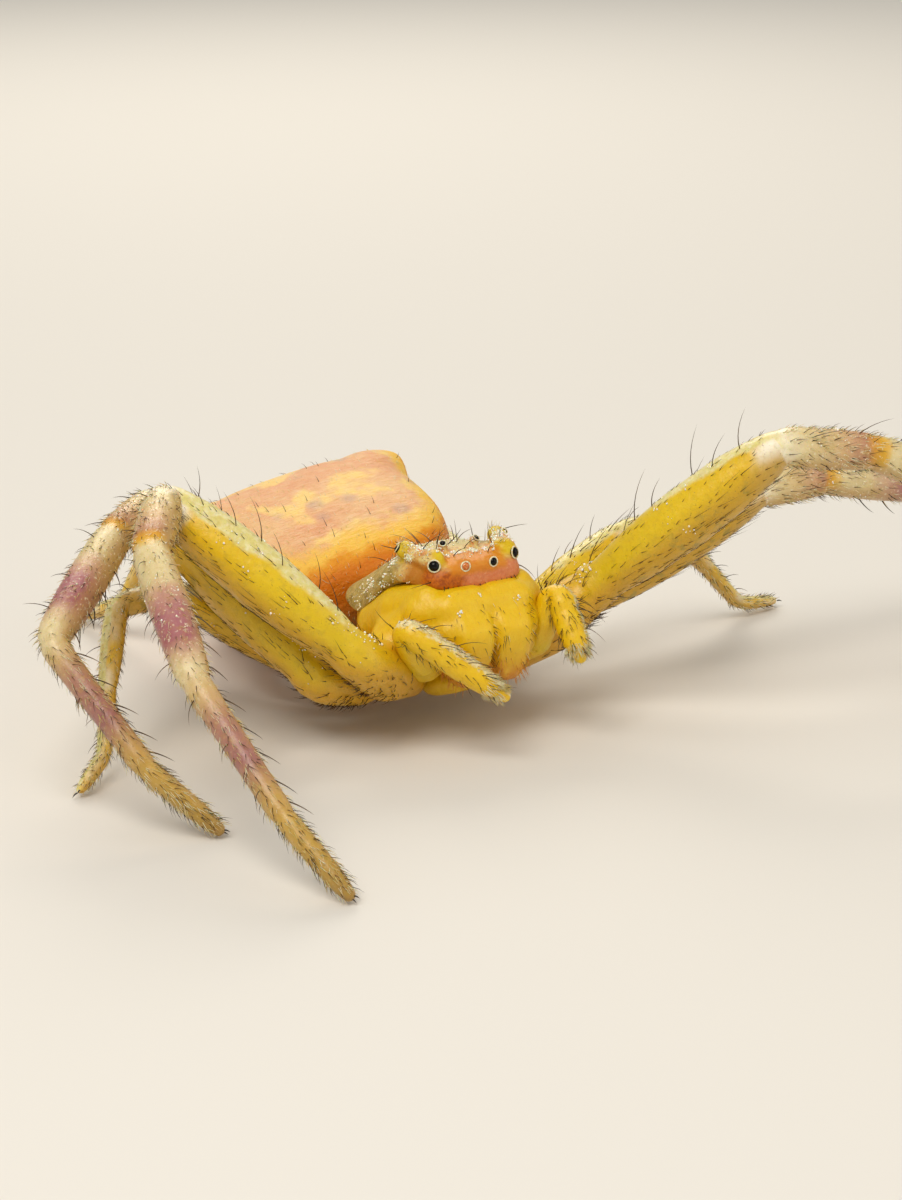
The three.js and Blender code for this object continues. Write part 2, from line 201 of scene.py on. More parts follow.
# Places along the leg: coxa to 1/6, femur to 2/6, patella to 3/6, tibia to 4/6,
# metatarsus to 5/6, tarsus to 1.
upper = ramp(
    tree,
    along_uneven,
    [
        (0.0, "#dca80c"),
        (0.15, "#e0b414"),
        (0.185, "#dcbc00"),
        (0.25, "#e6c400"),
        (0.312, "#e8be00"),
        (0.325, "#f4ecd4"),
        (0.342, "#f2e8c8"),
        (0.37, "#e2cf9a"),
        (0.41, "#dabd88"),
        (0.45, "#cfa47a"),
        (0.475, "#b98462"),
        (0.489, "#d89a1c"),
        (0.502, "#e2b02c"),
        (0.514, "#e2d2a0"),
        (0.55, "#ddc994"),
        (0.572, "#c79a80"),
        (0.592, "#aa6a70"),
        (0.622, "#a66466"),
        (0.64, "#d0b08a"),
        (0.66, "#e2d2a2"),
        (0.69, "#cfae78"),
        # From the metatarsus's band to the claw these are the segments' own pink and yellow, darkened in part
        # with painted shade.
        (0.72, "#b07e68"),
        (0.77, "#a06a64"),
        (0.80, "#bc945c"),
        (0.84, "#c8a24c"),
        (0.92, "#bf9a44"),
        (1.0, "#a8843a"),
    ],
)
# Painted shade: the same bands in darker tones, for the underside of each leg.
shaded_underside = ramp(
    tree,
    along,
    [
        (0.0, "#d09a0a"),
        (0.16, "#d8a408"),
        (0.2, "#d2a204"),
        (0.30, "#d2a404"),
        (0.335, "#cda652"),
        (0.45, "#c49c58"),
        (0.55, "#c8a264"),
        (0.61, "#b07c60"),
        (0.66, "#caa568"),
        (0.76, "#a8765a"),
        (0.84, "#c0a068"),
        (1.0, "#b8945a"),
    ],
)
# Skin that faces down takes the darker bands, as painted shade.
sides = spread(tree, top, -0.55, 0.35)
leg_tone_lit_and_shaded = blend(tree, sides, shaded_underside, upper)
# The pale stripe along the top of each thigh, broken at its edges.
edge = maths(tree, "ADD", top, maths(tree, "MULTIPLY", maths(tree, "SUBTRACT", patches, 0.5), 0.35))
narrowed = maths(tree, "ADD", edge, spread(tree, along, 0.17, 0.33, -0.26, 0.06))
stripe = spread(tree, narrowed, 0.62, 0.76)
on_thigh = maths(
    tree,
    "MULTIPLY",
    spread(tree, along, 0.175, 0.2),
    spread(tree, along, 0.325, 0.342, 1.0, 0.0),
)
stripe_tone = blend(tree, spread(tree, clouds(tree, 10.0, 3.0), 0.42, 0.7), "#e4d888", "#eee6b4")
striped = blend(tree, maths(tree, "MULTIPLY", stripe, on_thigh), leg_tone_lit_and_shaded, stripe_tone)
mottle = blend(tree, spread(tree, clouds(tree, 9.0, 4.0), 0.45, 0.75, 0.0, 0.35), striped, "#b89a28")
olive_share = maths(tree, "MULTIPLY", spread(tree, top, 0.1, -0.6), on_thigh)
olive_spots = spread(tree, clouds(tree, 4.0, 3.0), 0.56, 0.68, 0.0, 0.55)
mottle = blend(tree, maths(tree, "MULTIPLY", olive_share, olive_spots), mottle, "#8f8630")
pale_specks = spread(tree, clouds(tree, 18.0, 2.0), 0.58, 0.72, 0.0, 0.6)
beyond_knee = maths(
    tree, "MULTIPLY", spread(tree, along, 0.32, 0.345), spread(tree, along, 0.64, 0.72, 1.0, 0.2)
)
speckled = blend(tree, maths(tree, "MULTIPLY", pale_specks, beyond_knee), mottle, "#f4ecd2")
dark_specks = spread(tree, clouds(tree, 30.0, 1.0), 0.705, 0.75, 0.0, 0.5)
leg_colour = blend(tree, dark_specks, speckled, "#6e4a1e")
tree.links.new(leg_colour, shader.inputs["Base Color"])
shader.inputs["Roughness"].default_value = 0.36
shader.inputs["IOR"].default_value = 1.5
shader.inputs["Subsurface Weight"].default_value = 0.22
shader.inputs["Subsurface Radius"].default_value = (1.0, 0.6, 0.12)
shader.inputs["Subsurface Scale"].default_value = 0.0003
shader.inputs["Coat Weight"].default_value = 0.25
shader.inputs["Coat Roughness"].default_value = 0.3
pores = relief(tree, clouds(tree, 40.0, 2.0), 0.00001, 0.6)
folds = relief(tree, clouds(tree, 7.0, 3.0), 0.00003, 0.6, pores)
tree.links.new(folds, shader.inputs["Normal"])

# Cuticle of the chest, jaws, palps and mouth: the same shell, smooth and clear yellow,
# with painted shade making it browner underneath, and with orange jaw tips.
body_cuticle, tree, shader = new_material("body_cuticle_yellow")
place = node(tree, "ShaderNodeSeparateXYZ", Vector=attribute(tree, "spot", "Vector"))
height = place.outputs["Z"]
tone = ramp(
    tree,
    attribute(tree, "along"),
    [(0.0, "#e8be00"), (0.45, "#ebc000"), (0.72, "#e6b400"), (0.86, "#d48a04"), (1.0, "#b8600a")],
)
# Painted shade: brown blended in towards the bottom of the chest, mouth and jaws.
under = spread(tree, height, 0.4, 1.1, 1.0, 0.0)
shaded_underneath = blend(tree, maths(tree, "MULTIPLY", under, 0.6), tone, "#a87400")
mottle = blend(tree, spread(tree, clouds(tree, 7.0, 4.0), 0.45, 0.75, 0.0, 0.4), shaded_underneath, "#f0d030")
veined = blend(tree, spread(tree, clouds(tree, 22.0, 3.0), 0.62, 0.72, 0.0, 0.35), mottle, "#c08a10")
broken = maths(tree, "MULTIPLY", maths(tree, "SUBTRACT", clouds(tree, 14.0, 3.0), 0.5), 0.8)
ridge = spread(tree, maths(tree, "ADD", attribute(tree, "top"), broken), 0.7, 0.95, 0.0, 0.9)
tree.links.new(blend(tree, ridge, veined, "#ecdfae"), shader.inputs["Base Color"])
shader.inputs["Roughness"].default_value = 0.42
shader.inputs["IOR"].default_value = 1.5
shader.inputs["Subsurface Weight"].default_value = 0.2
shader.inputs["Subsurface Radius"].default_value = (1.0, 0.6, 0.1)
shader.inputs["Subsurface Scale"].default_value = 0.0003
shader.inputs["Coat Weight"].default_value = 0.12
shader.inputs["Coat Roughness"].default_value = 0.28
pores = relief(tree, clouds(tree, 45.0, 2.0), 0.000008, 0.6)
wrinkles = clouds(tree, 9.0, 3.0, squash=(1.0, 1.0, 0.45))
tree.links.new(relief(tree, wrinkles, 0.00004, 0.6, pores), shader.inputs["Normal"])

# Skin of the abdomen: soft, finely wrinkled and matt. The back is peach and pink with
# cream and lilac blotches, edged in yellow, and the sides are orange.
abdomen_skin, tree, shader = new_material("abdomen_skin_soft_matt")
place = node(tree, "ShaderNodeSeparateXYZ", Vector=attribute(tree, "spot", "Vector"))
across, back_along, height = (place.outputs[name] for name in ("X", "Y", "Z"))
rim = attribute(tree, "top")
soft = clouds(tree, 1.1, 4.0, 0.6)
fine = clouds(tree, 5.0, 4.0, 0.6)
peach = blend(tree, spread(tree, soft, 0.35, 0.65), "#e9bb84", "#e2a273")
cream = blend(tree, spread(tree, clouds(tree, 1.3, 2.0), 0.46, 0.6, 0.0, 0.9), peach, "#f8d47a")
lilac_spots = node(
    tree,
    "ShaderNodeTexVoronoi",
    {"feature": "SMOOTH_F1"},
    Vector=attribute(tree, "spot", "Vector"),
    Scale=1.35,
    Smoothness=0.4,
)
lilac_share = spread(tree, lilac_spots.outputs["Distance"], 0.08, 0.3, 0.65, 0.0)
lilac = blend(tree, lilac_share, cream, "#bd9a8a")
grain = blend(tree, spread(tree, fine, 0.4, 0.7, 0.0, 0.4), lilac, "#f0c898")
wavy = maths(tree, "ADD", rim, maths(tree, "MULTIPLY", maths(tree, "SUBTRACT", soft, 0.5), 0.5))
edged = blend(tree, spread(tree, wavy, 0.9, 0.74), grain, "#f6c64a")
flank = ramp(
    tree,
    wavy,
    [(0.0, "#c98a3a"), (0.2, "#d4780e"), (0.5, "#d97c02"), (0.64, "#e89c08"), (0.74, "#f6c64a")],
)
tree.links.new(
    blend(tree, spread(tree, wavy, 0.78, 0.66), edged, flank), shader.inputs["Base Color"]
)
shader.inputs["Roughness"].default_value = 0.52
shader.inputs["IOR"].default_value = 1.45
shader.inputs["Subsurface Weight"].default_value = 0.3
shader.inputs["Subsurface Radius"].default_value = (1.0, 0.5, 0.2)
shader.inputs["Subsurface Scale"].default_value = 0.0005
creases = clouds(tree, 6.0, 4.0, 0.6, squash=(0.6, 1.8, 1.0))
pitted = relief(tree, clouds(tree, 24.0, 3.0), 0.00002, 0.6)
tree.links.new(relief(tree, creases, 0.0001, 0.6, pitted), shader.inputs["Normal"])

# The skin is one mesh over every soft or jointed part. It starts with the eight legs,
# each a tube led through its joints, thinned at each joint where soft membrane shows.
SEGMENTS = ("femur", "patella", "tibia", "metatarsus", "tarsus")
LENGTHS = {
    1: (4.0, 1.6, 2.8, 2.55, 1.45),
    2: (3.9, 1.33, 2.85, 2.45, 1.4),
    3: (2.4, 1.1, 1.5, 1.15, 0.9),
    4: (2.7, 1.1, 1.75, 1.35, 0.9),
}
ROOT_BACK = {1: -0.85, 2: -0.28, 3: 0.3, 4: 0.85}
ROOT_OUT = 0.8
ROOT_HEIGHT = 0.88
TOE_HEIGHT = 0.14
STANCE = {  # hip, heading, lean and the pitch of each segment
    "right_leg_1": ((2.15, -1.7, 1.67), 50, 51, (82, -21, -47, -66, -78)),
    "right_leg_2": ((2.42, -0.77, 1.12), 65, 48, (82, -13, -26, -90, -109)),
    "right_leg_3": ((2.14, 0.46, 0.98), 84, 40, (45, -3, -62, -66, -43)),
    "right_leg_4": ((2.05, 1.25, 1.1), 168, 0, (30, -15, -55, -22, -5)),
    "left_leg_1": ((2.18, -1.54, 2.1), 72, -24, (45.5, -8, -25, -56, -70)),
    "left_leg_2": ((2.28, -0.59, 1.49), 88, -18, (29, 1, -13, -41, -56)),
    "left_leg_3": ((2.1, 0.4, 1.2), 100, 0, (24, -2, -44, -46, -10)),
    "left_leg_4": ((2.05, 1.25, 1.1), 165, 0, (4, -4, -22, -14, -6)),
}
# Radii at places along a leg, where each whole number is a joint.
STRONG = (
    (0.0, 0.28), (0.5, 0.5), (0.85, 0.43), (1.0, 0.38), (1.06, 0.385), (1.1, 0.33),
    (1.15, 0.38), (1.3, 0.45), (1.5, 0.495), (1.75, 0.46), (1.9, 0.385), (1.97, 0.335),
    (2.0, 0.29), (2.06, 0.315), (2.3, 0.33), (2.6, 0.325), (2.9, 0.305), (3.0, 0.265),
    (3.05, 0.3), (3.4, 0.322), (3.7, 0.3), (3.93, 0.262), (4.0, 0.205), (4.05, 0.225),
    (4.3, 0.205), (4.7, 0.19), (4.95, 0.19), (5.0, 0.152), (5.06, 0.172), (5.5, 0.165),
    (5.85, 0.15), (6.0, 0.1),
)
WEAK = (
    (0.0, 0.26), (0.5, 0.38), (0.85, 0.33), (1.0, 0.3), (1.06, 0.3), (1.1, 0.26),
    (1.16, 0.29), (1.5, 0.33), (1.8, 0.28), (1.95, 0.23), (2.0, 0.19), (2.06, 0.21),
    (2.5, 0.215), (2.9, 0.2), (3.0, 0.16), (3.06, 0.185), (3.5, 0.185), (3.9, 0.16),
    (4.0, 0.13), (4.06, 0.145), (4.5, 0.135), (4.95, 0.125), (5.0, 0.105), (5.06, 0.12),
    (5.5, 0.115), (5.85, 0.1), (6.0, 0.07),
)
CORNER = 0.24  # how far from a joint the tube starts to turn


def unit(vector):
    return vector / np.linalg.norm(vector)


def rounded(value, squareness):
    return math.copysign(abs(value) ** squareness, value)


def blunt(share, power):
    return max(0.0, 1 - abs(share) ** power) ** (1 / power)


def ease(value, low_edge, high_edge):
    t = max(0.0, min(1.0, (value - low_edge) / (high_edge - low_edge)))
    return t * t * (3 - 2 * t)


def mix(first, second, share):
    return first + (second - first) * share


def leg_of(name):
    """The joints of a leg, the side of each segment that faces up, and its radii."""
    hip, heading, lean, pitch = STANCE[name]
    side = -1 if name.startswith("right") else 1
    pair = int(name[-1])
    turned = math.radians(heading)
    tilt = math.radians(lean)
    out = np.array((side * math.sin(turned), -math.cos(turned), 0))
    behind = np.array((side * math.cos(turned), math.sin(turned), 0))
    up = np.array((0, 0, math.cos(tilt))) + behind * math.sin(tilt)
    joints = [np.array((side * ROOT_OUT, ROOT_BACK[pair], ROOT_HEIGHT))]
    joints.append(np.array((side * hip[0], hip[1], hip[2])))
    tops = []
    for length, climb in zip(LENGTHS[pair], np.radians(pitch)):
        joints.append(joints[-1] + length * (out * math.cos(climb) + up * math.sin(climb)))
        tops.append(up * math.cos(climb) - out * math.sin(climb))
    joints[-1][2] = TOE_HEIGHT
    tops.insert(0, np.array((0, 0, 1.0)))
    places, sizes = np.array(STRONG if pair < 3 else WEAK).T
    fine_places = np.linspace(0, 6, 601)
    rough = np.interp(np.pad(fine_places, 3, "edge"), places, sizes)
    radii = np.convolve(rough, np.ones(7) / 7, "valid")
    return {"name": name, "pair": pair, "side": side, "joints": joints, "tops": tops,
            "places": fine_places, "radii": radii, "known": {}, "ridge": np.array((0, 0, 1.0))}


def leg_axis(leg, at):
    """The middle of the tube, the way it runs and its upper side, at a place along it."""
    if at not in leg["known"]:
        leg["known"][at] = found_axis(leg, at)
    return leg["known"][at]


def found_axis(leg, at):
    joints, tops = leg["joints"], leg["tops"]
    last = len(joints) - 2
    i = min(int(at), last)
    share = at - i
    lengths = [np.linalg.norm(joints[k + 1] - joints[k]) for k in range(last + 1)]
    near = CORNER / lengths[i]
    if share < near and i > 0:
        corner, s = i, 0.5 + 0.5 * share / near
    elif share > 1 - near and i < last:
        corner, s = i + 1, 0.5 * (share - 1 + near) / near
    else:
        along_way = unit(joints[i + 1] - joints[i])
        middle = joints[i] + (joints[i + 1] - joints[i]) * share
        upside = tops[i] - along_way * tops[i].dot(along_way)
        return middle, along_way, unit(upside)
    joint = joints[corner]
    start = joint + unit(joints[corner - 1] - joint) * CORNER
    end = joint + unit(joints[corner + 1] - joint) * CORNER
    middle = start * (1 - s) ** 2 + joint * 2 * s * (1 - s) + end * s * s
    along_way = unit((joint - start) * (1 - s) + (end - joint) * s)
    upside = tops[corner - 1] * (1 - s) + tops[corner] * s
    return middle, along_way, unit(upside - along_way * upside.dot(along_way))


def ridge_turn(leg, at):
    """How far the ridge of coxa and thigh, or of a palp's end, is turned from the bend's."""
    share = ease(at, 0.85, 1.1) if leg["pair"] == 0 else 1 - ease(at, 1.78, 1.98)
    if share == 0:
        return 0.0
    middle, along_way, upside = leg_axis(leg, at)
    sideways = np.cross(along_way, upside)
    return math.atan2(sideways.dot(leg["ridge"]), upside.dot(leg["ridge"])) * share


def leg_point(leg, at, around, lift=0.0):
    """A point on a leg's skin and the way out of it. Around is 0 on the upper side."""
    middle, along_way, upside = leg_axis(leg, at)
    sideways = np.cross(along_way, upside)
    turned = around + ridge_turn(leg, at)
    outwards = upside * math.cos(turned) + sideways * math.sin(turned)
    radius = np.interp(at, leg["places"], leg["radii"])
    ridge = 1 + 0.05 * max(0.0, math.cos(around)) ** 6 * (1 < at < 4)
    return middle + outwards * (radius * ridge + lift), outwards


skin = bmesh.new()
LAYERS = {name: skin.verts.layers.float.new(name) for name in ("along", "top")}
SPOT = skin.verts.layers.float_vector.new("spot")
MAP = skin.verts.layers.float_vector.new("unwrap")


def tube(sides, stations, surface, material):
    """A ball led along stations: surface gives each point, and the values it carries."""
    made = bmesh.ops.create_uvsphere(
        skin, u_segments=sides, v_segments=len(stations) - 1, radius=1
    )
    for vert in made["verts"]:
        ring = round((len(stations) - 1) * math.acos(max(-1, min(1, vert.co.z))) / math.pi)
        around = math.atan2(vert.co.y, vert.co.x)
        point, values, unwrapped = surface(stations[ring], around)
        vert.co = placed(point)
        vert[SPOT] = Vector(point)
        vert[MAP] = Vector(unwrapped)
        for name, value in values.items():
            vert[LAYERS[name]] = value
    faces = list({face for vert in made["verts"] for face in vert.link_faces})
    bmesh.ops.recalc_face_normals(skin, faces=faces)
    for face in faces:
        face.smooth = True
        face.material_index = material


# A leg's place on the unwrap of the skin: a strip of its own, as wide as its girth.
def leg_map(leg, at, around):
    strip = list(STANCE).index(leg["name"])
    return (0.01 + 0.08 * strip + 0.07 * ((around / math.tau) % 1.0), 0.02 + 0.9 * at / 6, 0)


LEG_SIDES = 26
legs = {name: leg_of(name) for name in STANCE}
for leg in legs.values():
    spacing = [np.linalg.norm(b - a) for a, b in zip(leg["joints"], leg["joints"][1:])]
    run = [0.0]
    for i, length in enumerate(spacing):
        steps = max(8, round(length / 0.13))
        run += [i + k / steps for k in range(1, steps + 1)]
    extra = [joint + shift for joint in range(1, 6) for shift in (-0.03, -0.012, 0.012, 0.03)]
    run = sorted(set(run + extra))
    stations = [(0.0, 0.0, 0.0)] + [(at, 1.0, 0.0) for at in run]
    stations += [(6.0, math.cos(a), math.sin(a)) for a in (0.5, 0.9, 1.25)] + [(6.0, 0.0, 1.0)]

    def on_leg(station, around, leg=leg):
        at, width, beyond = station
        middle, along_way, upside = leg_axis(leg, at)
        point, outwards = leg_point(leg, at, around)
        tip = along_way * beyond * leg["radii"][-1]
        point = middle + (point - middle) * width + tip
        upside = np.array((0, 0, 1.0)) if at < 2 else upside
        upside = unit(upside - along_way * upside.dot(along_way))
        narrowing = 0.14 if leg["side"] > 0 and at < 2 else 0.0
        banded_at = at if leg["pair"] < 3 else min(at, 1.9)  # the rear legs are plain yellow
        values = {"along": banded_at, "top": outwards.dot(upside) - narrowing}
        return point, values, leg_map(leg, at, around)

    tube(LEG_SIDES, stations, on_leg, 0)


# Chest, with the sternum as its underside, and the narrow waist behind it. All the legs
# spring from the chest's sides.
def rings(count):
    """Places from -1 to 1, closer together towards both ends."""
    return [-math.cos(math.pi * i / count) for i in range(count + 1)]


def straight_tube(start, end, radii, material, carried, corner_map, sides=20, count=14):
    """A short round limb with rounded ends, such as a lobe or a spinneret."""
    start, end = np.array(start, float), np.array(end, float)
    way = unit(end - start)
    length = np.linalg.norm(end - start)
    upside = unit(np.cross(way, np.cross((0.01, 0.02, 1.0), way)))
    sideways = np.cross(way, upside)

    def surface(share, around):
        reach = (share + 1) / 2
        full = mix(radii[0], radii[1], reach)
        width = full * blunt(share, 3.0)
        point = (
            start
            - way * radii[0]
            + way * (length + radii[0] + radii[1]) * reach
            + upside * width * math.cos(around)
            + sideways * width * math.sin(around)
        )
        u, v = corner_map
        unwrapped = (u + 0.02 * ((around / math.tau) % 1.0), v + 0.02 * reach, 0)
        return point, {"along": carried * reach, "top": 0.0}, unwrapped

    tube(sides, rings(count), surface, material)



# Chest, with the sternum as its underside, the cheeks that fill the corners between jaw
# and shield, and the narrow waist behind. They are melted into one soft surface.
def melted(parts, voxel, smoothing):
    """Overlapping shells melted into one closed surface, as a bmesh in millimetres."""
    mesh = bpy.data.meshes.new("melt")
    parts.to_mesh(mesh)
    parts.free()
    holder = bpy.data.objects.new("melt", mesh)
    bpy.context.scene.collection.objects.link(holder)
    remesh = holder.modifiers.new("melt", "REMESH")
    remesh.mode = "VOXEL"
    remesh.voxel_size = voxel
    smooth = holder.modifiers.new("smooth", "SMOOTH")
    smooth.factor = 0.5
    smooth.iterations = smoothing
    seen = holder.evaluated_get(bpy.context.evaluated_depsgraph_get())
    result = bmesh.new()
    result.from_mesh(seen.to_mesh())
    seen.to_mesh_clear()
    bpy.data.objects.remove(holder)
    bpy.data.meshes.remove(mesh)
    return result


ball = bmesh.new()
bmesh.ops.create_uvsphere(ball, u_segments=24, v_segments=16, radius=1)
unit_ball = bpy.data.meshes.new("unit_ball")
ball.to_mesh(unit_ball)
ball.free()


def add_ball(parts, centre, radius, stretch=(1, 1, 1), turn_to=None):
    """One more ball in a set of shells that will be melted together."""
    size = Matrix.Diagonal((*[radius * s for s in stretch], 1))
    turned = Vector(turn_to).to_track_quat("Z", "Y").to_matrix().to_4x4() if turn_to else Matrix()
    shaped = unit_ball.copy()
    shaped.transform(Matrix.Translation(Vector(centre)) @ turned @ size)
    parts.from_mesh(shaped)
    bpy.data.meshes.remove(shaped)


def add_limb(parts, start, end, radii, count=10):
    """A row of balls from one place to another."""
    for i in range(count):
        part = i / (count - 1)
        add_ball(parts, Vector(start).lerp(Vector(end), part), mix(radii[0], radii[1], part))


def append(source, material, values):
    """Adds a melted shell to the skin, with the values its points carry."""
    made = {}
    for vert in source.verts:
        point = vert.co.copy()
        upright, far, level, unwrapped = values(point)
        made[vert.index] = skin.verts.new(placed(point))
        made[vert.index][SPOT] = upright
        made[vert.index][LAYERS["along"]] = far
        made[vert.index][LAYERS["top"]] = level
        made[vert.index][MAP] = Vector(unwrapped)
    for face in source.faces:
        new = skin.faces.new([made[vert.index] for vert in face.verts])
        new.smooth = True
        new.material_index = material


# Chest, cheeks and jaws: one shell melted from simple shapes. The jaws are two stout
# upright blocks side by side under the face, yellow, with hairy orange ends from which
# the fangs fold inwards. The cheeks fill the corners between jaws, shield and hips.
JAW = {"across": 0.37, "half_width": 0.358, "top": 2.63, "bottom": 1.0, "front": -2.34,
       "back": -1.37, "setback": 0.46}


def jaw_surface(share, around, side):
    """A jaw's skin, from -1 at its top to 1 at its end, and its place on the unwrap."""
    closing = blunt(share, 8 if share < 0 else 4)
    fall = (share + 1) / 2
    taper = 1 - 0.24 * ease(fall, 0.5, 1)
    swell = 1 + 0.03 * math.sin(fall * math.pi)
    half_depth = (JAW["back"] - JAW["front"]) / 2
    if math.sin(around) > 0:  # the front slopes back towards the top
        half_depth -= JAW["setback"] * (1 - ease(share, -1, -0.15))
    inner = side * math.cos(around) < 0
    corner = 0.4 if inner else 0.6
    across = JAW["half_width"] * closing * taper * rounded(math.cos(around), corner)
    across = side * JAW["across"] + across * (1.0 if inner else swell)
    along_depth = half_depth * closing * taper * rounded(math.sin(around), corner)
    y = (JAW["front"] + JAW["back"]) / 2 - along_depth * swell + 0.06 * fall
    unwrapped = (0.72 + 0.02 * side + 0.03 * ((around / math.tau) % 1.0), 0.5 + 0.1 * fall, 0)
    return np.array((across, y, mix(JAW["top"], JAW["bottom"], fall))), unwrapped


shells = bmesh.new()
made = bmesh.ops.create_uvsphere(shells, u_segments=48, v_segments=32, radius=1)
for vert in made["verts"]:
    share = math.sin(math.pi / 2 * max(-1, min(1, vert.co.z)))
    around = math.atan2(vert.co.y, vert.co.x)
    closing = blunt(share, 2.4)
    vert.co = (
        1.06 * closing * rounded(math.cos(around), 0.8),
        1.3 * share,
        1.38 + 0.9 * closing * rounded(math.sin(around), 0.8),
    )
for side in (-1, 1):
    made = bmesh.ops.create_uvsphere(shells, u_segments=48, v_segments=48, radius=1)
    for vert in made["verts"]:
        share = -math.sin(math.pi / 2 * max(-1, min(1, vert.co.z)))
        vert.co = jaw_surface(share, math.atan2(vert.co.y, vert.co.x), side)[0]
bmesh.ops.recalc_face_normals(shells, faces=shells.faces)
add_limb(shells, (0, 1.0, 1.62), (0, 1.95, 1.68), (0.25, 0.23))
CHEEKS = (  # ends on the left half, and radii
    ((1.02, -0.2, 1.72), (0.91, -0.8, 2.07), (0.36, 0.44)),
    ((0.91, -0.8, 2.07), (0.8, -1.42, 2.36), (0.44, 0.33)),
    ((0.0, -1.75, 2.3), (0.62, -1.75, 2.3), (0.3, 0.3)),
    ((0.62, -1.75, 2.3), (0.92, -1.42, 2.2), (0.3, 0.34)),
    ((0.64, -1.84, 1.95), (0.92, -1.45, 1.9), (0.33, 0.34)),
    ((0.64, -1.82, 1.6), (0.88, -1.45, 1.55), (0.28, 0.3)),
    ((0.95, -0.9, 1.9), (1.35, -1.15, 1.55), (0.42, 0.4)),
    ((0.95, -1.3, 2.1), (1.2, -1.15, 1.75), (0.32, 0.36)),
    ((0.85, -1.35, 1.35), (1.06, -1.66, 1.5), (0.34, 0.28)),
)
for side in (-1, 1):
    for start, end, radii in CHEEKS:
        add_limb(shells, (side * start[0], *start[1:]), (side * end[0], *end[1:]), radii, 7)


def front_values(point):
    fall = (JAW["top"] - point.z) / (JAW["top"] - JAW["bottom"])
    on_jaw = ease(-point.y, 1.5, 1.7) * (1 - ease(abs(point.x), 0.75, 0.95))
    around = math.atan2(point.x, point.z - 1.4) / math.tau + 0.5
    unwrapped = (0.66 + 0.05 * around, 0.1 + 0.03 * point.y, 0)
    return point, 0.95 * fall * on_jaw, 0.0, unwrapped


front = melted(shells, 0.036, 14)
front_tree = BVHTree.FromBMesh(front)
append(front, 1, front_values)

# Mouth: two plates and a lip between them, which close the mouth below the jaws.
for side in (-1, 1):
    straight_tube(
        (side * 0.42, -1.0, 0.8), (side * 0.22, -1.42, 0.92), (0.23, 0.17), 1, 0.5, (0.7, 0.2)
    )
straight_tube((0, -0.95, 0.72), (0, -1.3, 0.84), (0.17, 0.13), 1, 0.4, (0.74, 0.2))

# Palps: short feelers beside the jaws, bent sharply at the elbow, with hairy ends.
PALPS = {
    "right": ((-1.02, -1.68, 1.42), (-1.56, -1.93, 2.2), (-0.26, -2.9, 1.14)),
    "left": ((1.02, -1.68, 1.42), (1.25, -2.0, 2.4), (1.28, -2.7, 1.46)),
}
palps = {}
for label, points in PALPS.items():
    joints = [np.array(p) for p in points]
    rise, fall = joints[1] - joints[0], joints[2] - joints[1]
    plane = np.cross(rise, fall)
    tops = [unit(np.cross(plane, way)) for way in (rise, fall)]
    if tops[1].dot(rise) < 0:  # the upper side is the outside of the bend
        tops = [-top for top in tops]
    profile = np.array(
        (
            (0.0, 0.24), (0.5, 0.27), (0.85, 0.23), (1.0, 0.19), (1.05, 0.2), (1.2, 0.235),
            (1.3, 0.22), (1.34, 0.205), (1.4, 0.225), (1.6, 0.225), (1.66, 0.2), (1.72, 0.21),
            (1.86, 0.18), (1.95, 0.14), (2.0, 0.1),
        )
    )
    fine_places = np.linspace(0, 2, 401)
    palps[label] = {"name": label, "pair": 0, "joints": joints, "tops": tops,
                    "places": fine_places, "radii": np.interp(fine_places, *profile.T), "known": {},
                    "ridge": np.array((0.0, 0.0, 1.0) if label == "right" else (0.8, 0.2, 0.6))}


def palp_map(label, at, around):
    left_edge = 0.78 if label == "left" else 0.84
    return (left_edge + 0.05 * ((around / math.tau) % 1.0), 0.5 + 0.1 * at, 0)


for label, palp in palps.items():
    stations = [(0.0, 0.0, 0.0)] + [(i / 28, 1.0, 0.0) for i in range(57)]
    stations += [(2.0, math.cos(a), math.sin(a)) for a in (0.5, 0.9, 1.25)] + [(2.0, 0.0, 1.0)]

    def on_palp(station, around, palp=palp):
        at, width, beyond = station
        middle, along_way, upside = leg_axis(palp, at)
        point, outwards = leg_point(palp, at, around)
        point = middle + (point - middle) * width + along_way * beyond * 0.1
        carried = {"along": 0.5 * ease(at, 0.8, 2.0), "top": math.cos(around) * ease(at, 0.8, 1.0)}
        return point, carried, palp_map(palp["name"], at, around)

    tube(24, stations, on_palp, 1)

# Abdomen: a soft sack on the waist, narrow in front and broad behind, with a blunt bump
# at each rear corner. It sits tipped a little to the spider's right.
ABDOMEN = {"front": 1.65, "back": 5.63, "front_half": 1.97, "back_half": 2.33, "axis": 1.62,
           "front_top": 2.53, "back_top": 2.99, "belly": 0.53}
ABDOMEN_CORNER = (2.13, 4.9, 2.4)
TILT = (math.radians(-1), math.radians(-10))
WAIST = Vector((0, 1.5, 1.68))
tilted = Matrix.Rotation(TILT[1], 3, "Y") @ Matrix.Rotation(TILT[0], 3, "X")


def sack_point(share, around):
    part = (share + 1) / 2
    closing = blunt(share, 2.8) if share < 0 else blunt(share, 3.4)
    crown = mix(ABDOMEN["front_top"], ABDOMEN["back_top"], ease(part, 0, 0.8))
    wide = mix(ABDOMEN["front_half"], ABDOMEN["back_half"], part) * closing
    up = math.sin(around)
    tall = (crown if up > 0 else 2 * ABDOMEN["axis"] - ABDOMEN["belly"]) - ABDOMEN["axis"]
    return Vector(
        (
            wide * rounded(math.cos(around), 0.6),
            mix(ABDOMEN["front"], ABDOMEN["back"], part),
            ABDOMEN["axis"] + tall * closing * rounded(up, 0.6),
        )
    )


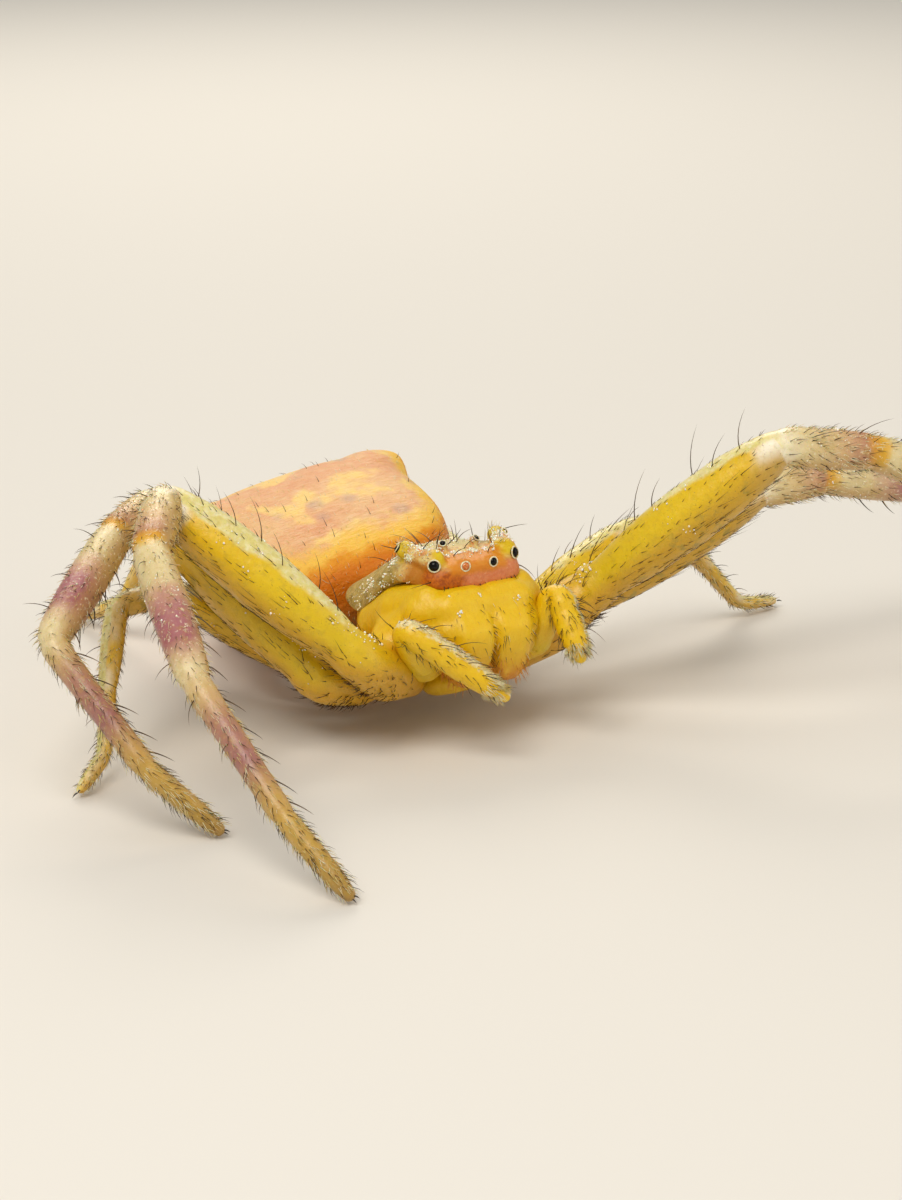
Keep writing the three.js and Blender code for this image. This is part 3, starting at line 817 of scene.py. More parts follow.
shells = bmesh.new()
made = bmesh.ops.create_uvsphere(shells, u_segments=64, v_segments=48, radius=1)
for vert in made["verts"]:
    share = math.cos(math.acos(max(-1, min(1, vert.co.z))))
    vert.co = sack_point(share, math.atan2(vert.co.y, vert.co.x))
bmesh.ops.recalc_face_normals(shells, faces=shells.faces)
across, far, tall = ABDOMEN_CORNER
for side in (-1, 1):
    start = Vector((side * (across - 0.8), far - 0.35, tall - 0.3))
    end = Vector((side * across, far, tall))
    for i in range(9):
        part = i / 8
        add_ball(shells, start.lerp(end, part), mix(0.82, 0.28, part**1.3))
abdomen = melted(shells, 0.055, 14)
for vert in abdomen.verts:
    vert.co = tilted @ (vert.co - WAIST) + WAIST
abdomen_tree = BVHTree.FromBMesh(abdomen)
untilted = tilted.inverted()


def abdomen_values(point):
    """Where a point lies on the abdomen: upright place, and 0 below to 1 on the back."""
    upright = untilted @ (Vector(point) - WAIST) + WAIST
    part = (upright.y - ABDOMEN["front"]) / (ABDOMEN["back"] - ABDOMEN["front"])
    crown = mix(ABDOMEN["front_top"], ABDOMEN["back_top"], ease(part, 0, 0.8))
    top_share = (upright.z - ABDOMEN["belly"]) / (crown - ABDOMEN["belly"])
    reach_out = abs(upright.x) / 2.4
    forward_share = max(0.0, 0.25 - part) * 1.2
    level = top_share - 0.12 * reach_out**4 - forward_share
    around = math.atan2(upright.x, upright.z - 1.6) / math.tau + 0.5
    unwrapped = (0.66 + 0.3 * around, 0.72 + 0.25 * max(0.0, min(1.0, part)), 0)
    return upright, 0.0, level, unwrapped


append(abdomen, 2, abdomen_values)

# Spinnerets: six short cones under the abdomen's end; the small tubercle they stand round is not made.
for side in (-1, 1):
    for start, end, radii in (
        ((0.17, 5.42, 1.16), (0.15, 5.78, 0.98), (0.17, 0.09)),
        ((0.3, 5.4, 1.24), (0.3, 5.72, 1.14), (0.13, 0.07)),
        ((0.1, 5.4, 1.0), (0.08, 5.6, 0.88), (0.09, 0.05)),
    ):
        start = (side * start[0], *start[1:])
        end = (side * end[0], *end[1:])
        straight_tube(start, end, radii, 1, 0.7, (0.78, 0.2), 14, 10)

skin_mesh = bpy.data.meshes.new("skin")
for material in (leg_cuticle, body_cuticle, abdomen_skin):
    skin_mesh.materials.append(material)
skin.to_mesh(skin_mesh)
skin.free()
skin_mesh.attributes.remove(skin_mesh.attributes["unwrap"])
skin_piece = bpy.data.objects.new("skin", skin_mesh)
bpy.context.scene.collection.objects.link(skin_piece)
FLESH = [
    name
    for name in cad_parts
    if not name.startswith("eye_") and name != "carapace"
]
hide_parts(*FLESH)
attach(skin_piece, "root")

# Carapace: the hard shield over head and chest. A horn on each side of the head carries
# two eyes, and each eye sits on its own small mound. The face below them is pink and
# orange, the horns are yellow and the top is creamy, all set with glassy white grains.
CARAPACE = {"front": -1.7, "back": 1.6, "half": 1.27, "face_half": 0.88, "margin": 1.72,
            "face_bottom": 2.55, "crown": 3.03, "rear": 2.03}
EYES = {  # across, back from the face, up, radius, and the way it looks
    "anterior_median": (0.25, 0.03, 0.0, 0.08, (0.12, -1.0, 0.12)),
    "anterior_lateral": (0.71, 0.19, 0.03, 0.1, (0.5, -0.85, 0.2)),
    "posterior_median": (0.3, 0.63, 0.2, 0.058, (0.35, -0.55, 0.8)),
    "posterior_lateral": (0.95, 0.86, 0.14, 0.07, (0.75, 0.6, 0.55)),
}


def shield_point(share, around):
    y = mix(CARAPACE["front"], CARAPACE["back"], (share + 1) / 2)
    closing = blunt(share, 8) if share < 0 else blunt(share, 2.1)
    width = mix(CARAPACE["face_half"], CARAPACE["half"], ease(share, -1, -0.1))
    bottom = mix(CARAPACE["face_bottom"], CARAPACE["margin"], ease(y, -1, 0.2))
    crest = mix(CARAPACE["crown"], CARAPACE["rear"], ease(y, -0.7, 1.9))
    bend = 0.12
    squareness = mix(0.75, 1.2, ease(share, -0.6, 0.2))
    up = rounded(math.sin(around), squareness)
    tall = (crest - bottom - bend) if up > 0 else bend
    return Vector(
        (
            width * closing * rounded(math.cos(around), squareness),
            y,
            bottom + bend + tall * closing * up,
        )
    )


shells = bmesh.new()
made = bmesh.ops.create_uvsphere(shells, u_segments=72, v_segments=64, radius=1)
for vert in made["verts"]:
    share = math.sin(math.pi / 2 * max(-1, min(1, vert.co.z)))
    vert.co = shield_point(share, math.atan2(vert.co.y, vert.co.x))
bmesh.ops.recalc_face_normals(shells, faces=shells.faces)
for side in (-1, 1):
    front, rear = EYES["anterior_lateral"], EYES["posterior_lateral"]
    start = Vector((side * (front[0] - 0.05), FACE.y + front[1] + 0.14, FACE.z + front[2] + 0.01))
    end = Vector((side * (rear[0] - 0.1), FACE.y + rear[1] + 0.03, FACE.z + rear[2] - 0.01))
    for i in range(10):
        part = i / 9
        sag = 0.03 * math.sin(math.pi * part)
        add_ball(shells, start.lerp(end, part) - Vector((0, 0, sag)), mix(0.215, 0.15, part**0.6))
    for across, back, up, radius, look in EYES.values():
        look = Vector((side * look[0], look[1], look[2])).normalized()
        centre = Vector((side * across, FACE.y + back, FACE.z + up)) - look * radius * 0.55
        add_ball(shells, centre, radius * 1.5, (1, 1, 0.9), look)
for i in range(15):
    part = i / 14 * 2 - 1
    y = CARAPACE["front"] + 0.1 + 0.14 * part * part
    add_ball(shells, (part * 0.74, y, 2.63 + 0.05 * part**4), 0.1)
carapace = melted(shells, 0.026, 7)
carapace_tree = BVHTree.FromBMesh(carapace)

shield_cuticle, tree, shader = new_material("carapace_cuticle_grained")
spot = attribute(tree, "spot", "Vector")
place = node(tree, "ShaderNodeSeparateXYZ", Vector=spot)
across, back_along, height = (place.outputs[name] for name in ("X", "Y", "Z"))
outwards = maths(tree, "ABSOLUTE", across)
both_sides = node(tree, "ShaderNodeCombineXYZ", X=outwards, Y=back_along, Z=height).outputs[0]
uneven = maths(tree, "SUBTRACT", clouds(tree, 5.0, 3.0), 0.5)


def near_place(centre, inner, outer):
    """1 within a distance of a place on either side, falling to 0 further out."""
    gone = node(tree, "ShaderNodeVectorMath", {"operation": "DISTANCE"}, i0=both_sides, i1=centre)
    wavy_gone = maths(tree, "ADD", gone.outputs["Value"], maths(tree, "MULTIPLY", uneven, 0.16))
    return spread(tree, wavy_gone, inner, outer, 1.0, 0.0)


def both(first, second):
    return maths(tree, "MULTIPLY", first, second)


side_tone = blend(tree, spread(tree, clouds(tree, 7.0, 4.0), 0.4, 0.68), "#b9a25a", "#8f7a34")
middle_band = spread(tree, maths(tree, "ADD", outwards, uneven), 0.5, 0.3)
banded = blend(tree, both(middle_band, 0.8), side_tone, "#dccb8c")
top_tone = blend(tree, spread(tree, clouds(tree, 6.0, 4.0), 0.38, 0.62), "#e6cf8a", "#d9a24a")
rosy = blend(tree, spread(tree, clouds(tree, 9.0, 3.0), 0.5, 0.64, 0.0, 0.7), top_tone, "#d07f52")
headed = blend(tree, spread(tree, back_along, -0.75, -1.05), banded, rosy)
# Painted shade: orange-brown on the lower outer sides of the head, below the horns.
flank = both(spread(tree, height, 3.06, 2.94), spread(tree, back_along, -0.95, -1.15))
flank = both(flank, spread(tree, outwards, 0.55, 0.72))
flank_shaded = blend(tree, both(flank, 0.9), headed, "#ba7412")
# Yellow horns: the mound of each front side eye above, orange below it, and a yellow
# knob round each rear side eye.
mound = near_place((0.55, -1.46, 3.04), 0.15, 0.32)
over_eye = spread(tree, maths(tree, "ADD", height, maths(tree, "MULTIPLY", uneven, 0.1)), 2.9, 3.02)
mound_tone = blend(tree, spread(tree, clouds(tree, 8.0, 2.0), 0.35, 0.7), "#dcb800", "#e0c420")
yellowed = blend(tree, both(mound, over_eye), flank_shaded, mound_tone)
knobbed = blend(tree, near_place((0.9, -0.76, 3.06), 0.16, 0.26), yellowed, "#dabb26")
# The face: pink from the middle to the left, orange under the right side eye.
level = maths(tree, "ADD", height, maths(tree, "MULTIPLY", uneven, 0.1))
face_front = spread(tree, back_along, -1.3, -1.46)
face_band = both(face_front, spread(tree, level, 2.96, 2.86))
speckle = spread(tree, clouds(tree, 16.0, 4.0, 0.65), 0.38, 0.66)
pink = blend(tree, speckle, "#dc8a5c", "#d57c50")
pink = blend(tree, spread(tree, clouds(tree, 24.0, 2.0), 0.58, 0.7, 0.0, 0.5), pink, "#e8b088")
orange = blend(tree, speckle, "#c86a00", "#a04a00")
to_right = maths(tree, "ADD", across, maths(tree, "MULTIPLY", uneven, 0.4))
warm = blend(tree, spread(tree, to_right, -0.42, -0.16), orange, pink)
faced = blend(tree, face_band, knobbed, warm)
eye_front = spread(tree, back_along, -1.12, -1.3)
eye_band = both(eye_front, both(spread(tree, level, 2.76, 2.88), spread(tree, level, 3.2, 3.06)))
eye_band = both(eye_band, spread(tree, outwards, 0.58, 0.46))
banded_face = blend(tree, both(eye_band, 0.9), faced, "#d68200")
grains = node(
    tree, "ShaderNodeTexVoronoi", {"feature": "F1"}, Vector=spot, Scale=16.0, Randomness=1.0
)
off_face = maths(tree, "SUBTRACT", 1.0, maths(tree, "MAXIMUM", maths(tree, "MAXIMUM", face_band, flank), maths(tree, "MAXIMUM", mound, eye_band)))
grain_top = both(spread(tree, grains.outputs["Distance"], 0.34, 0.16), off_face)
grained = blend(tree, both(grain_top, 0.45), banded_face, "#efe3bf")
tree.links.new(grained, shader.inputs["Base Color"])
shader.inputs["Roughness"].default_value = 0.5
shader.inputs["IOR"].default_value = 1.4
shader.inputs["Subsurface Weight"].default_value = 0.15
shader.inputs["Subsurface Radius"].default_value = (1.0, 0.6, 0.2)
shader.inputs["Subsurface Scale"].default_value = 0.00006
shader.inputs["Coat Weight"].default_value = 0.08
shader.inputs["Coat Roughness"].default_value = 0.25
knobs = relief(tree, grain_top, 0.00003, 0.8)
tree.links.new(relief(tree, clouds(tree, 14.0, 3.0), 0.00003, 0.6, knobs), shader.inputs["Normal"])

carapace_mesh = bpy.data.meshes.new("carapace_shield")
spots = carapace.verts.layers.float_vector.new("spot")
for vert in carapace.verts:
    vert[spots] = vert.co
    vert.co = placed(vert.co)
for face in carapace.faces:
    face.smooth = True
carapace.to_mesh(carapace_mesh)
carapace.free()
carapace_mesh.materials.append(shield_cuticle)
carapace_piece = bpy.data.objects.new("carapace_shield", carapace_mesh)
bpy.context.scene.collection.objects.link(carapace_piece)
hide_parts("carapace")
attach(carapace_piece, "root")

# Eyes: eight small glassy lenses, black inside, each set in a raised white ring. The
# right front middle one has its inner eye turned away and shines orange.
eye_black, tree, shader = new_material("eye_lens_black")
shader.inputs["Base Color"].default_value = linear("#040303")
shader.inputs["Roughness"].default_value = 0.12
shader.inputs["IOR"].default_value = 1.33
eye_orange, tree, shader = new_material("eye_lens_orange")
glow = clouds(tree, 20.0, 2.0)
tree.links.new(
    blend(tree, spread(tree, glow, 0.35, 0.65), "#b8480a", "#e08a30"), shader.inputs["Base Color"]
)
shader.inputs["Roughness"].default_value = 0.08
shader.inputs["Coat Weight"].default_value = 1.0
shader.inputs["Coat Roughness"].default_value = 0.03
eye_ring, tree, shader = new_material("eye_ring_white_cuticle")
tree.links.new(
    blend(tree, spread(tree, clouds(tree, 30.0, 2.0), 0.35, 0.65), "#f4ecd0", "#d9c89a"),
    shader.inputs["Base Color"],
)
shader.inputs["Roughness"].default_value = 0.25
shader.inputs["Subsurface Weight"].default_value = 0.2
shader.inputs["Subsurface Scale"].default_value = 0.0001


def finish_piece(name, source, material, spot_values=True):
    """A bmesh in millimetres made a piece in place, riding on the body."""
    if spot_values:
        layer = source.verts.layers.float_vector.get("spot")
        layer = layer or source.verts.layers.float_vector.new("spot")
        for vert in source.verts:
            vert[layer] = vert.co
    for vert in source.verts:
        vert.co = placed(vert.co)
    for face in source.faces:
        face.smooth = True
    mesh = bpy.data.meshes.new(name)
    source.to_mesh(mesh)
    source.free()
    mesh.materials.append(material)
    piece = bpy.data.objects.new(name, mesh)
    bpy.context.scene.collection.objects.link(piece)
    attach(piece, "root")
    return piece


eye_centres = []
for name, (across, back, up, radius, look) in EYES.items():
    for side, label in ((-1, "right"), (1, "left")):
        look_out = Vector((side * look[0], look[1], look[2])).normalized()
        near = Vector((side * across, FACE.y + back, FACE.z + up))
        hit = carapace_tree.ray_cast(near + look_out * 0.6, -look_out)[0] or near
        eye_centres.append((hit, radius))
        lens = bmesh.new()
        turned = look_out.to_track_quat("Z", "Y").to_matrix().to_4x4()
        lens_radius = radius * 0.93
        seat = Matrix.Translation(hit - look_out * lens_radius * 0.42) @ turned
        bmesh.ops.create_uvsphere(
            lens, u_segments=40, v_segments=28, radius=lens_radius, matrix=seat
        )
        orange = (name, label) == ("anterior_median", "right")
        eyeball = finish_piece(
            f"lens_{name}_{label}", lens, eye_orange if orange else eye_black
        )
        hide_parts(f"eye_{name}_{label}")
        ring = bmesh.new()
        made = bmesh.ops.create_circle(ring, segments=12, radius=radius * (0.17 if "median" in name else 0.13))
        rise = Matrix.Rotation(math.pi / 2, 3, "X")
        for vert in made["verts"]:
            vert.co = rise @ vert.co + Vector((radius * 0.95, 0, 0))
        bmesh.ops.spin(
            ring,
            geom=ring.verts[:] + ring.edges[:],
            cent=(0, 0, 0),
            axis=(0, 0, 1),
            angle=math.tau,
            steps=48,
            use_merge=True,
        )
        bmesh.ops.remove_doubles(ring, verts=ring.verts, dist=1e-5)
        bmesh.ops.recalc_face_normals(ring, faces=ring.faces)
        seat = Matrix.Translation(hit + look_out * radius * 0.02) @ turned
        bmesh.ops.transform(ring, matrix=seat, verts=ring.verts)
        finish_piece(f"ring_{name}_{label}", ring, eye_ring)

# Hairs. Spiders grow stiff dark bristles and softer pale hairs from sockets in the
# cuticle. Each is a thin three-sided spike here, bent the way it grows.
dark_bristle, tree, shader = new_material("bristle_dark_brown")
tree.links.new(
    blend(tree, spread(tree, clouds(tree, 3.0, 1.0), 0.35, 0.65), "#33220f", "#5a3f1c"),
    shader.inputs["Base Color"],
)
shader.inputs["Roughness"].default_value = 0.4
pale_hair, tree, shader = new_material("hair_pale_silky")
tree.links.new(
    blend(tree, spread(tree, clouds(tree, 3.0, 1.0), 0.35, 0.65), "#f2e8c4", "#d9c27a"),
    shader.inputs["Base Color"],
)
shader.inputs["Roughness"].default_value = 0.45
shader.inputs["Subsurface Weight"].default_value = 0.3
shader.inputs["Subsurface Scale"].default_value = 0.00005
orange_hair, tree, shader = new_material("hair_orange_jaw_fringe")
tree.links.new(
    blend(tree, spread(tree, clouds(tree, 3.0, 1.0), 0.35, 0.65), "#c9740e", "#e6a63a"),
    shader.inputs["Base Color"],
)
shader.inputs["Roughness"].default_value = 0.45
chance = np.random.default_rng(11)
PATCH = 0.003  # side of a hair's own patch on the unwrap


class Coat:
    """Gathers hairs of one kind until they are made one piece."""

    def __init__(self):
        self.hairs = []

    def add(self, root, way, bend, length, radius, unwrapped):
        self.hairs.append((*root, *way, *bend, length, radius, *unwrapped[:2]))


def make_coat(name, coat, material, steps=4):
    """One piece of joined hairs, each a tapered and curved three-sided spike."""
    data = np.array(coat.hairs)
    root, way, bend = data[:, 0:3], data[:, 3:6], data[:, 6:9]
    length, radius, unwrapped = data[:, 9], data[:, 10], data[:, 11:13]
    way = way / np.linalg.norm(way, axis=1, keepdims=True)
    across = np.cross(way, bend + np.array((0.013, 0.017, 0.011)))
    across /= np.linalg.norm(across, axis=1, keepdims=True)
    rest = np.cross(way, across)
    count = len(data)
    per_hair = 3 * steps + 1
    points = np.zeros((count, per_hair, 3))
    maps = np.zeros((count, per_hair, 2))
    for step in range(steps):
        reach = step / steps
        middle = root + way * (length * reach)[:, None] + bend * (length * reach**2)[:, None]
        middle = middle - way * (radius * 1.5)[:, None] * (step == 0)
        thick = radius * (1 - reach) ** 0.6
        for k in range(3):
            angle = math.tau * k / 3
            ring = across * math.cos(angle) + rest * math.sin(angle)
            points[:, 3 * step + k] = middle + ring * thick[:, None]
            maps[:, 3 * step + k] = unwrapped + PATCH * np.array((k / 2 - 0.5, reach - 0.5))
    points[:, -1] = root + way * length[:, None] + bend * length[:, None]
    maps[:, -1] = unwrapped + np.array((0, PATCH / 2))
    faces = []
    for step in range(steps - 1):
        for k in range(3):
            a, b = 3 * step + k, 3 * step + (k + 1) % 3
            faces += [(a, b, b + 3), (a, b + 3, a + 3)]
    last = 3 * (steps - 1)
    faces += [(last + k, last + (k + 1) % 3, per_hair - 1) for k in range(3)]
    faces.append((2, 1, 0))
    faces = np.array(faces)
    corners = (faces[None] + (np.arange(count) * per_hair)[:, None, None]).reshape(-1)
    spots = points.reshape(-1, 3)
    mesh = bpy.data.meshes.new(name)
    mesh.vertices.add(len(spots))
    mesh.vertices.foreach_set("co", ((spots + np.array(CENTRING)) * MM).ravel())
    mesh.loops.add(len(corners))
    mesh.loops.foreach_set("vertex_index", corners)
    mesh.polygons.add(len(corners) // 3)
    mesh.polygons.foreach_set("loop_start", np.arange(0, len(corners), 3))
    mesh.update(calc_edges=True)
    mesh.validate()
    mesh.attributes.new("spot", "FLOAT_VECTOR", "POINT").data.foreach_set("vector", spots.ravel())
    layer = mesh.uv_layers.new(name="OFBake")
    layer.data.foreach_set("uv", maps.reshape(-1, 2)[corners].ravel())
    mesh.polygons.foreach_set("use_smooth", np.ones(len(corners) // 3, bool))
    mesh.materials.append(material)
    piece = bpy.data.objects.new(name, mesh)
    bpy.context.scene.collection.objects.link(piece)
    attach(piece, "root")
    return piece


def leg_hair(coat, leg, at, around, length, stand, radius, curl=0.25, sidle=0.0):
    """A hair on a leg. Stand is how steeply it rises, and it leans towards the foot."""
    root, outwards = leg_point(leg, at, around)
    _, along_way, upside = leg_axis(leg, at)
    sideways = np.cross(outwards, along_way)
    way = outwards * math.sin(stand) + along_way * math.cos(stand) + sideways * sidle
    bend = (along_way * math.sin(stand) - outwards * math.cos(stand)) * curl
    tip = root + (way + bend) * length
    if tip[2] < 0.02:
        return
    mapped = palp_map(leg["name"], at, around) if leg["pair"] == 0 else leg_map(leg, at, around)
    coat.add(root, way, bend, length, radius, mapped)


# Dark hairs of the legs: short ones lying in rows, standing ones beyond the knee, long
# bristles along the back of each segment and paired spines under tibia and metatarsus.
short_dark, long_dark, fine_dark, pale = Coat(), Coat(), Coat(), Coat()
for leg in legs.values():
    size = 1.0 if leg["pair"] < 3 else 0.75
    for _ in range(150):  # fine long hairs lying along the thigh's lower half
        at = chance.uniform(1.08, 1.9)
        leg_hair(fine_dark, leg, at, math.pi + chance.normal(0, 1.0), chance.uniform(0.25, 0.5) * size,
                 0.12 + chance.normal(0, 0.04), 0.0042, 0.06, chance.normal(0, 0.08))
    for _ in range(130):  # coarser ones under the hip
        at = chance.uniform(0.5, 1.12)
        leg_hair(short_dark, leg, at, math.pi + chance.normal(0, 0.9), chance.uniform(0.1, 0.24) * size,
                 chance.uniform(0.3, 0.9), 0.0075, 0.3, chance.normal(0, 0.4))
    for row in range(14):
        around = math.tau * row / 14 + chance.normal(0, 0.05)
        for at in np.arange(1.12, 1.98, 0.038):
            if chance.random() < 0.5:
                leg_hair(short_dark, leg, at + chance.normal(0, 0.008), around + chance.normal(0, 0.09),
                         chance.uniform(0.07, 0.16) * size, 0.32 + chance.normal(0, 0.1), 0.0062, 0.1,
                         chance.normal(0, 0.15))
    share_grown = {"right_leg_3": 0.8, "left_leg_4": 0.2}.get(leg["name"], 0.9)
    share_grown *= 1.0 if leg["pair"] < 3 else 0.6
    for at in np.arange(2.03, 5.98, 0.0075):
        if chance.random() < share_grown:
            around = chance.uniform(0, math.tau)
            leg_hair(short_dark, leg, at, around, chance.uniform(0.1, 0.24) * size,
                     chance.uniform(0.45, 0.95), 0.0065, 0.25, chance.normal(0, 0.2))
    for at in np.arange(2.0, 6.0, 0.0042 if leg["pair"] < 3 else 0.008):
        around = chance.uniform(0, math.tau)
        leg_hair(pale, leg, at, around, chance.uniform(0.08, 0.2) * size,
                 chance.uniform(0.35, 0.9), 0.006, 0.25, chance.normal(0, 0.25))
    for at in np.arange(0.35, 1.1, 0.011):
        around = chance.uniform(0, math.tau)
        leg_hair(short_dark, leg, at, around, chance.uniform(0.14, 0.3) * size,
                 chance.uniform(0.4, 0.9), 0.007, 0.3, chance.normal(0, 0.3))
    for at in (1.2, 1.33, 1.47, 1.6, 1.74, 1.88):
        leg_hair(long_dark, leg, at + chance.normal(0, 0.02), chance.normal(0, 0.35),
                 chance.uniform(0.5, 0.85) * size, chance.uniform(0.8, 1.25), 0.0105, 0.35,
                 chance.normal(0, 0.2))
    for at in (1.3, 1.5, 1.7, 1.85):
        for around in (1.1, -1.1):
            if chance.random() < 0.7:
                leg_hair(long_dark, leg, at + chance.normal(0, 0.04), around + chance.normal(0, 0.2),
                         chance.uniform(0.3, 0.5) * size, chance.uniform(0.5, 0.9), 0.009, 0.3)
    for at in (2.25, 2.8, 3.15, 3.5, 3.85, 4.1, 4.45, 4.8):
        leg_hair(long_dark, leg, at + chance.normal(0, 0.02), chance.normal(0, 0.3),
                 chance.uniform(0.3, 0.6) * size, chance.uniform(0.8, 1.2), 0.0095, 0.35)
    if leg["pair"] < 3:
        for at in (3.3, 3.5, 3.7, 3.88, 4.15, 4.35, 4.55, 4.75, 4.92):
            for around in (2.65, -2.65):
                leg_hair(long_dark, leg, at, around + chance.normal(0, 0.05),
                         0.42, 0.75, 0.015, 0.2)

# Hairs of the palps: dense dark ones over the outer ends, pale ones at the tips.
for palp in palps.values():
    for at in np.arange(0.8, 1.98, 0.008):
        leg_hair(short_dark, palp, at, chance.uniform(0, math.tau), chance.uniform(0.1, 0.24),
                 chance.uniform(0.5, 1.0), 0.0065, 0.3, chance.normal(0, 0.25))
    for at in np.arange(1.0, 2.0, 0.004):
        leg_hair(pale, palp, at, chance.normal(0, 0.35), chance.uniform(0.04, 0.1),
                 chance.uniform(0.4, 1.0), 0.006, 0.25, chance.normal(0, 0.3))
    for _ in range(260):
        leg_hair(pale, palp, chance.uniform(1.82, 1.99), chance.uniform(0, math.tau),
                 chance.uniform(0.08, 0.16), chance.uniform(0.2, 0.8), 0.006, 0.2)
    for at in (0.9, 1.02, 1.1, 1.2, 1.32, 1.45, 1.6, 1.75):
        leg_hair(long_dark, palp, at, chance.normal(0, 0.7), chance.uniform(0.3, 0.5),
                 1.1, 0.009, 0.45)


for at, around, length in (
    (0.86, 0.4, 0.42), (0.94, -0.2, 0.36), (1.04, 0.3, 0.5), (1.2, -0.1, 0.46), (1.36, 0.5, 0.5)
):  # the long curved bristles on the outer side of the left palp
    leg_hair(long_dark, palps["left"], at, around, length, 1.2, 0.0095, 0.5)


# Hairs of the head, chest, jaws and abdomen grow where a point near the surface is
# brought down onto it.
def root_on(surface_tree, point):
    place, normal, _, _ = surface_tree.find_nearest(Vector(point))
    return np.array(place), np.array(normal)


def head_map(point):
    around = math.atan2(point[0], point[2] - 1.9) / math.tau + 0.5
    return (0.66 + 0.3 * around, 0.3 + 0.15 * (point[1] - CARAPACE["front"]) / 3.3, 0)


def body_hair(coat, surface_tree, near, lean, length, radius, mapping, curl=0.3, stand=0.75):
    """A hair on the head or abdomen, which leans the given way."""
    root, normal = root_on(surface_tree, near)
    lean = np.array(lean, float)
    lean = lean - normal * lean.dot(normal)
    lean = lean / max(1e-6, np.linalg.norm(lean))
    way = normal * math.sin(stand) + lean * math.cos(stand)
    bend = (lean * math.sin(stand) - normal * math.cos(stand)) * curl
    coat.add(root, way, bend, length, radius, mapping(root))


HEAD_BRISTLES = (  # place on the right half, lean and length; each has its fellow opposite
    ((0.98, -0.75, 3.1), (0.9, -0.1, 0.3), 0.5),
    ((0.72, -1.1, 3.15), (-0.3, -0.4, 1.0), 0.46),
    ((0.5, -1.25, 3.12), (0.3, -0.6, 0.7), 0.42),
    ((0.3, -1.3, 3.1), (-0.2, -0.7, 0.7), 0.36),
    ((0.12, -1.05, 3.15), (0.1, -0.7, 0.7), 0.4),
    ((0.45, -0.8, 3.15), (0.2, 0.5, 0.7), 0.5),
    ((0.2, -0.6, 3.15), (0.1, -0.6, 0.8), 0.5),
    ((0.4, -0.2, 3.0), (0.2, 0.4, 0.8), 0.5),
    ((0.12, 0.1, 2.9), (0.1, 0.5, 0.8), 0.45),
    ((0.55, 0.45, 2.6), (0.4, 0.4, 0.7), 0.4),
    ((0.87, -1.5, 2.75), (0.9, -0.5, 0.1), 0.3),
)
for near, lean, length in HEAD_BRISTLES:
    for side in (-1, 1):
        jitter = chance.normal(0, 0.04, 3)
        body_hair(long_dark, carapace_tree, (side * near[0] + jitter[0], near[1] + jitter[1], near[2]),
                  (side * lean[0], lean[1], lean[2]), length * chance.uniform(0.85, 1.15), 0.0105,
                  head_map, 0.4, 1.0)
for across in np.linspace(-0.7, 0.7, 15):  # along the face's lower edge
    body_hair(long_dark, carapace_tree, (across, -1.9, 2.6 + 0.06 * across**2),
              (across * 0.4, -0.6, -0.5), chance.uniform(0.1, 0.2), 0.0085, head_map, 0.5, 0.9)
for _ in range(200):
    near = (chance.uniform(-1.2, 1.2), chance.uniform(-1.6, 1.2), 3.4)
    body_hair(pale, carapace_tree, near, (chance.normal(0, 0.5), -0.5, 0.4),
              chance.uniform(0.06, 0.18), 0.0045, head_map, 0.3, chance.uniform(0.5, 1.1))
for _ in range(30):
    near = (chance.uniform(-1.3, 1.3), chance.uniform(-1.7, 1.3), 3.3)
    body_hair(short_dark, carapace_tree, near, (chance.normal(0, 0.4), -0.6, 0.3),
              chance.uniform(0.1, 0.2), 0.0065, head_map, 0.3, chance.uniform(0.5, 1.0))


def abdomen_map(point):
    return abdomen_values(Vector(point))[3]


for _ in range(170):
    direction = Vector(chance.normal(0, 1, 3)).normalized()
    near = Vector((0, 3.7, 1.6)) + Vector((direction.x * 3, direction.y * 3, direction.z * 2))
    body_hair(short_dark, abdomen_tree, near, (0.1 * direction.x, 1.0, -0.15),
              chance.uniform(0.12, 0.24), 0.006, abdomen_map, 0.3, chance.uniform(0.4, 0.8))
for _ in range(1000):
    direction = Vector(chance.normal(0, 1, 3)).normalized()
    near = Vector((0, 3.7, 1.6)) + Vector((direction.x * 3, direction.y * 3, direction.z * 2))
    body_hair(pale, abdomen_tree, near, (0.1 * direction.x, 1.0, -0.2),
              chance.uniform(0.05, 0.11), 0.005, abdomen_map, 0.3, chance.uniform(0.35, 0.7))

# Fringe of the jaws: orange hairs round their lower ends, and a few dark bristles down
# their fronts.
fringe = Coat()


def on_jaw(side, share, angle):
    """A root on a jaw, the way out of the skin there, and its place on the unwrap."""
    point, unwrapped = jaw_surface(share, angle, side)
    root, normal = root_on(front_tree, point)
    return root, normal, unwrapped


for side in (-1, 1):
    for _ in range(150):
        share = chance.uniform(0.7, 0.99) * 2 - 1
        root, normal, unwrapped = on_jaw(side, share, chance.uniform(0, math.tau))
        way = normal * 0.5 + np.array((0, -0.1, -0.8)) + chance.normal(0, 0.15, 3)
        bend = np.array((0, 0, -0.1))
        fringe.add(root, unit(way), bend, chance.uniform(0.08, 0.2), 0.006, unwrapped)
    for _ in range(44):
        share = chance.uniform(0.15, 0.85) * 2 - 1
        root, normal, unwrapped = on_jaw(side, share, chance.uniform(0.3, 2.8))
        way = unit(normal * 0.8 + np.array((0, 0, -0.6)) + chance.normal(0, 0.1, 3))
        coat = short_dark if chance.random() < 0.7 else pale
        coat.add(root, way, np.array((0, 0, -0.25)), chance.uniform(0.07, 0.15), 0.006, unwrapped)

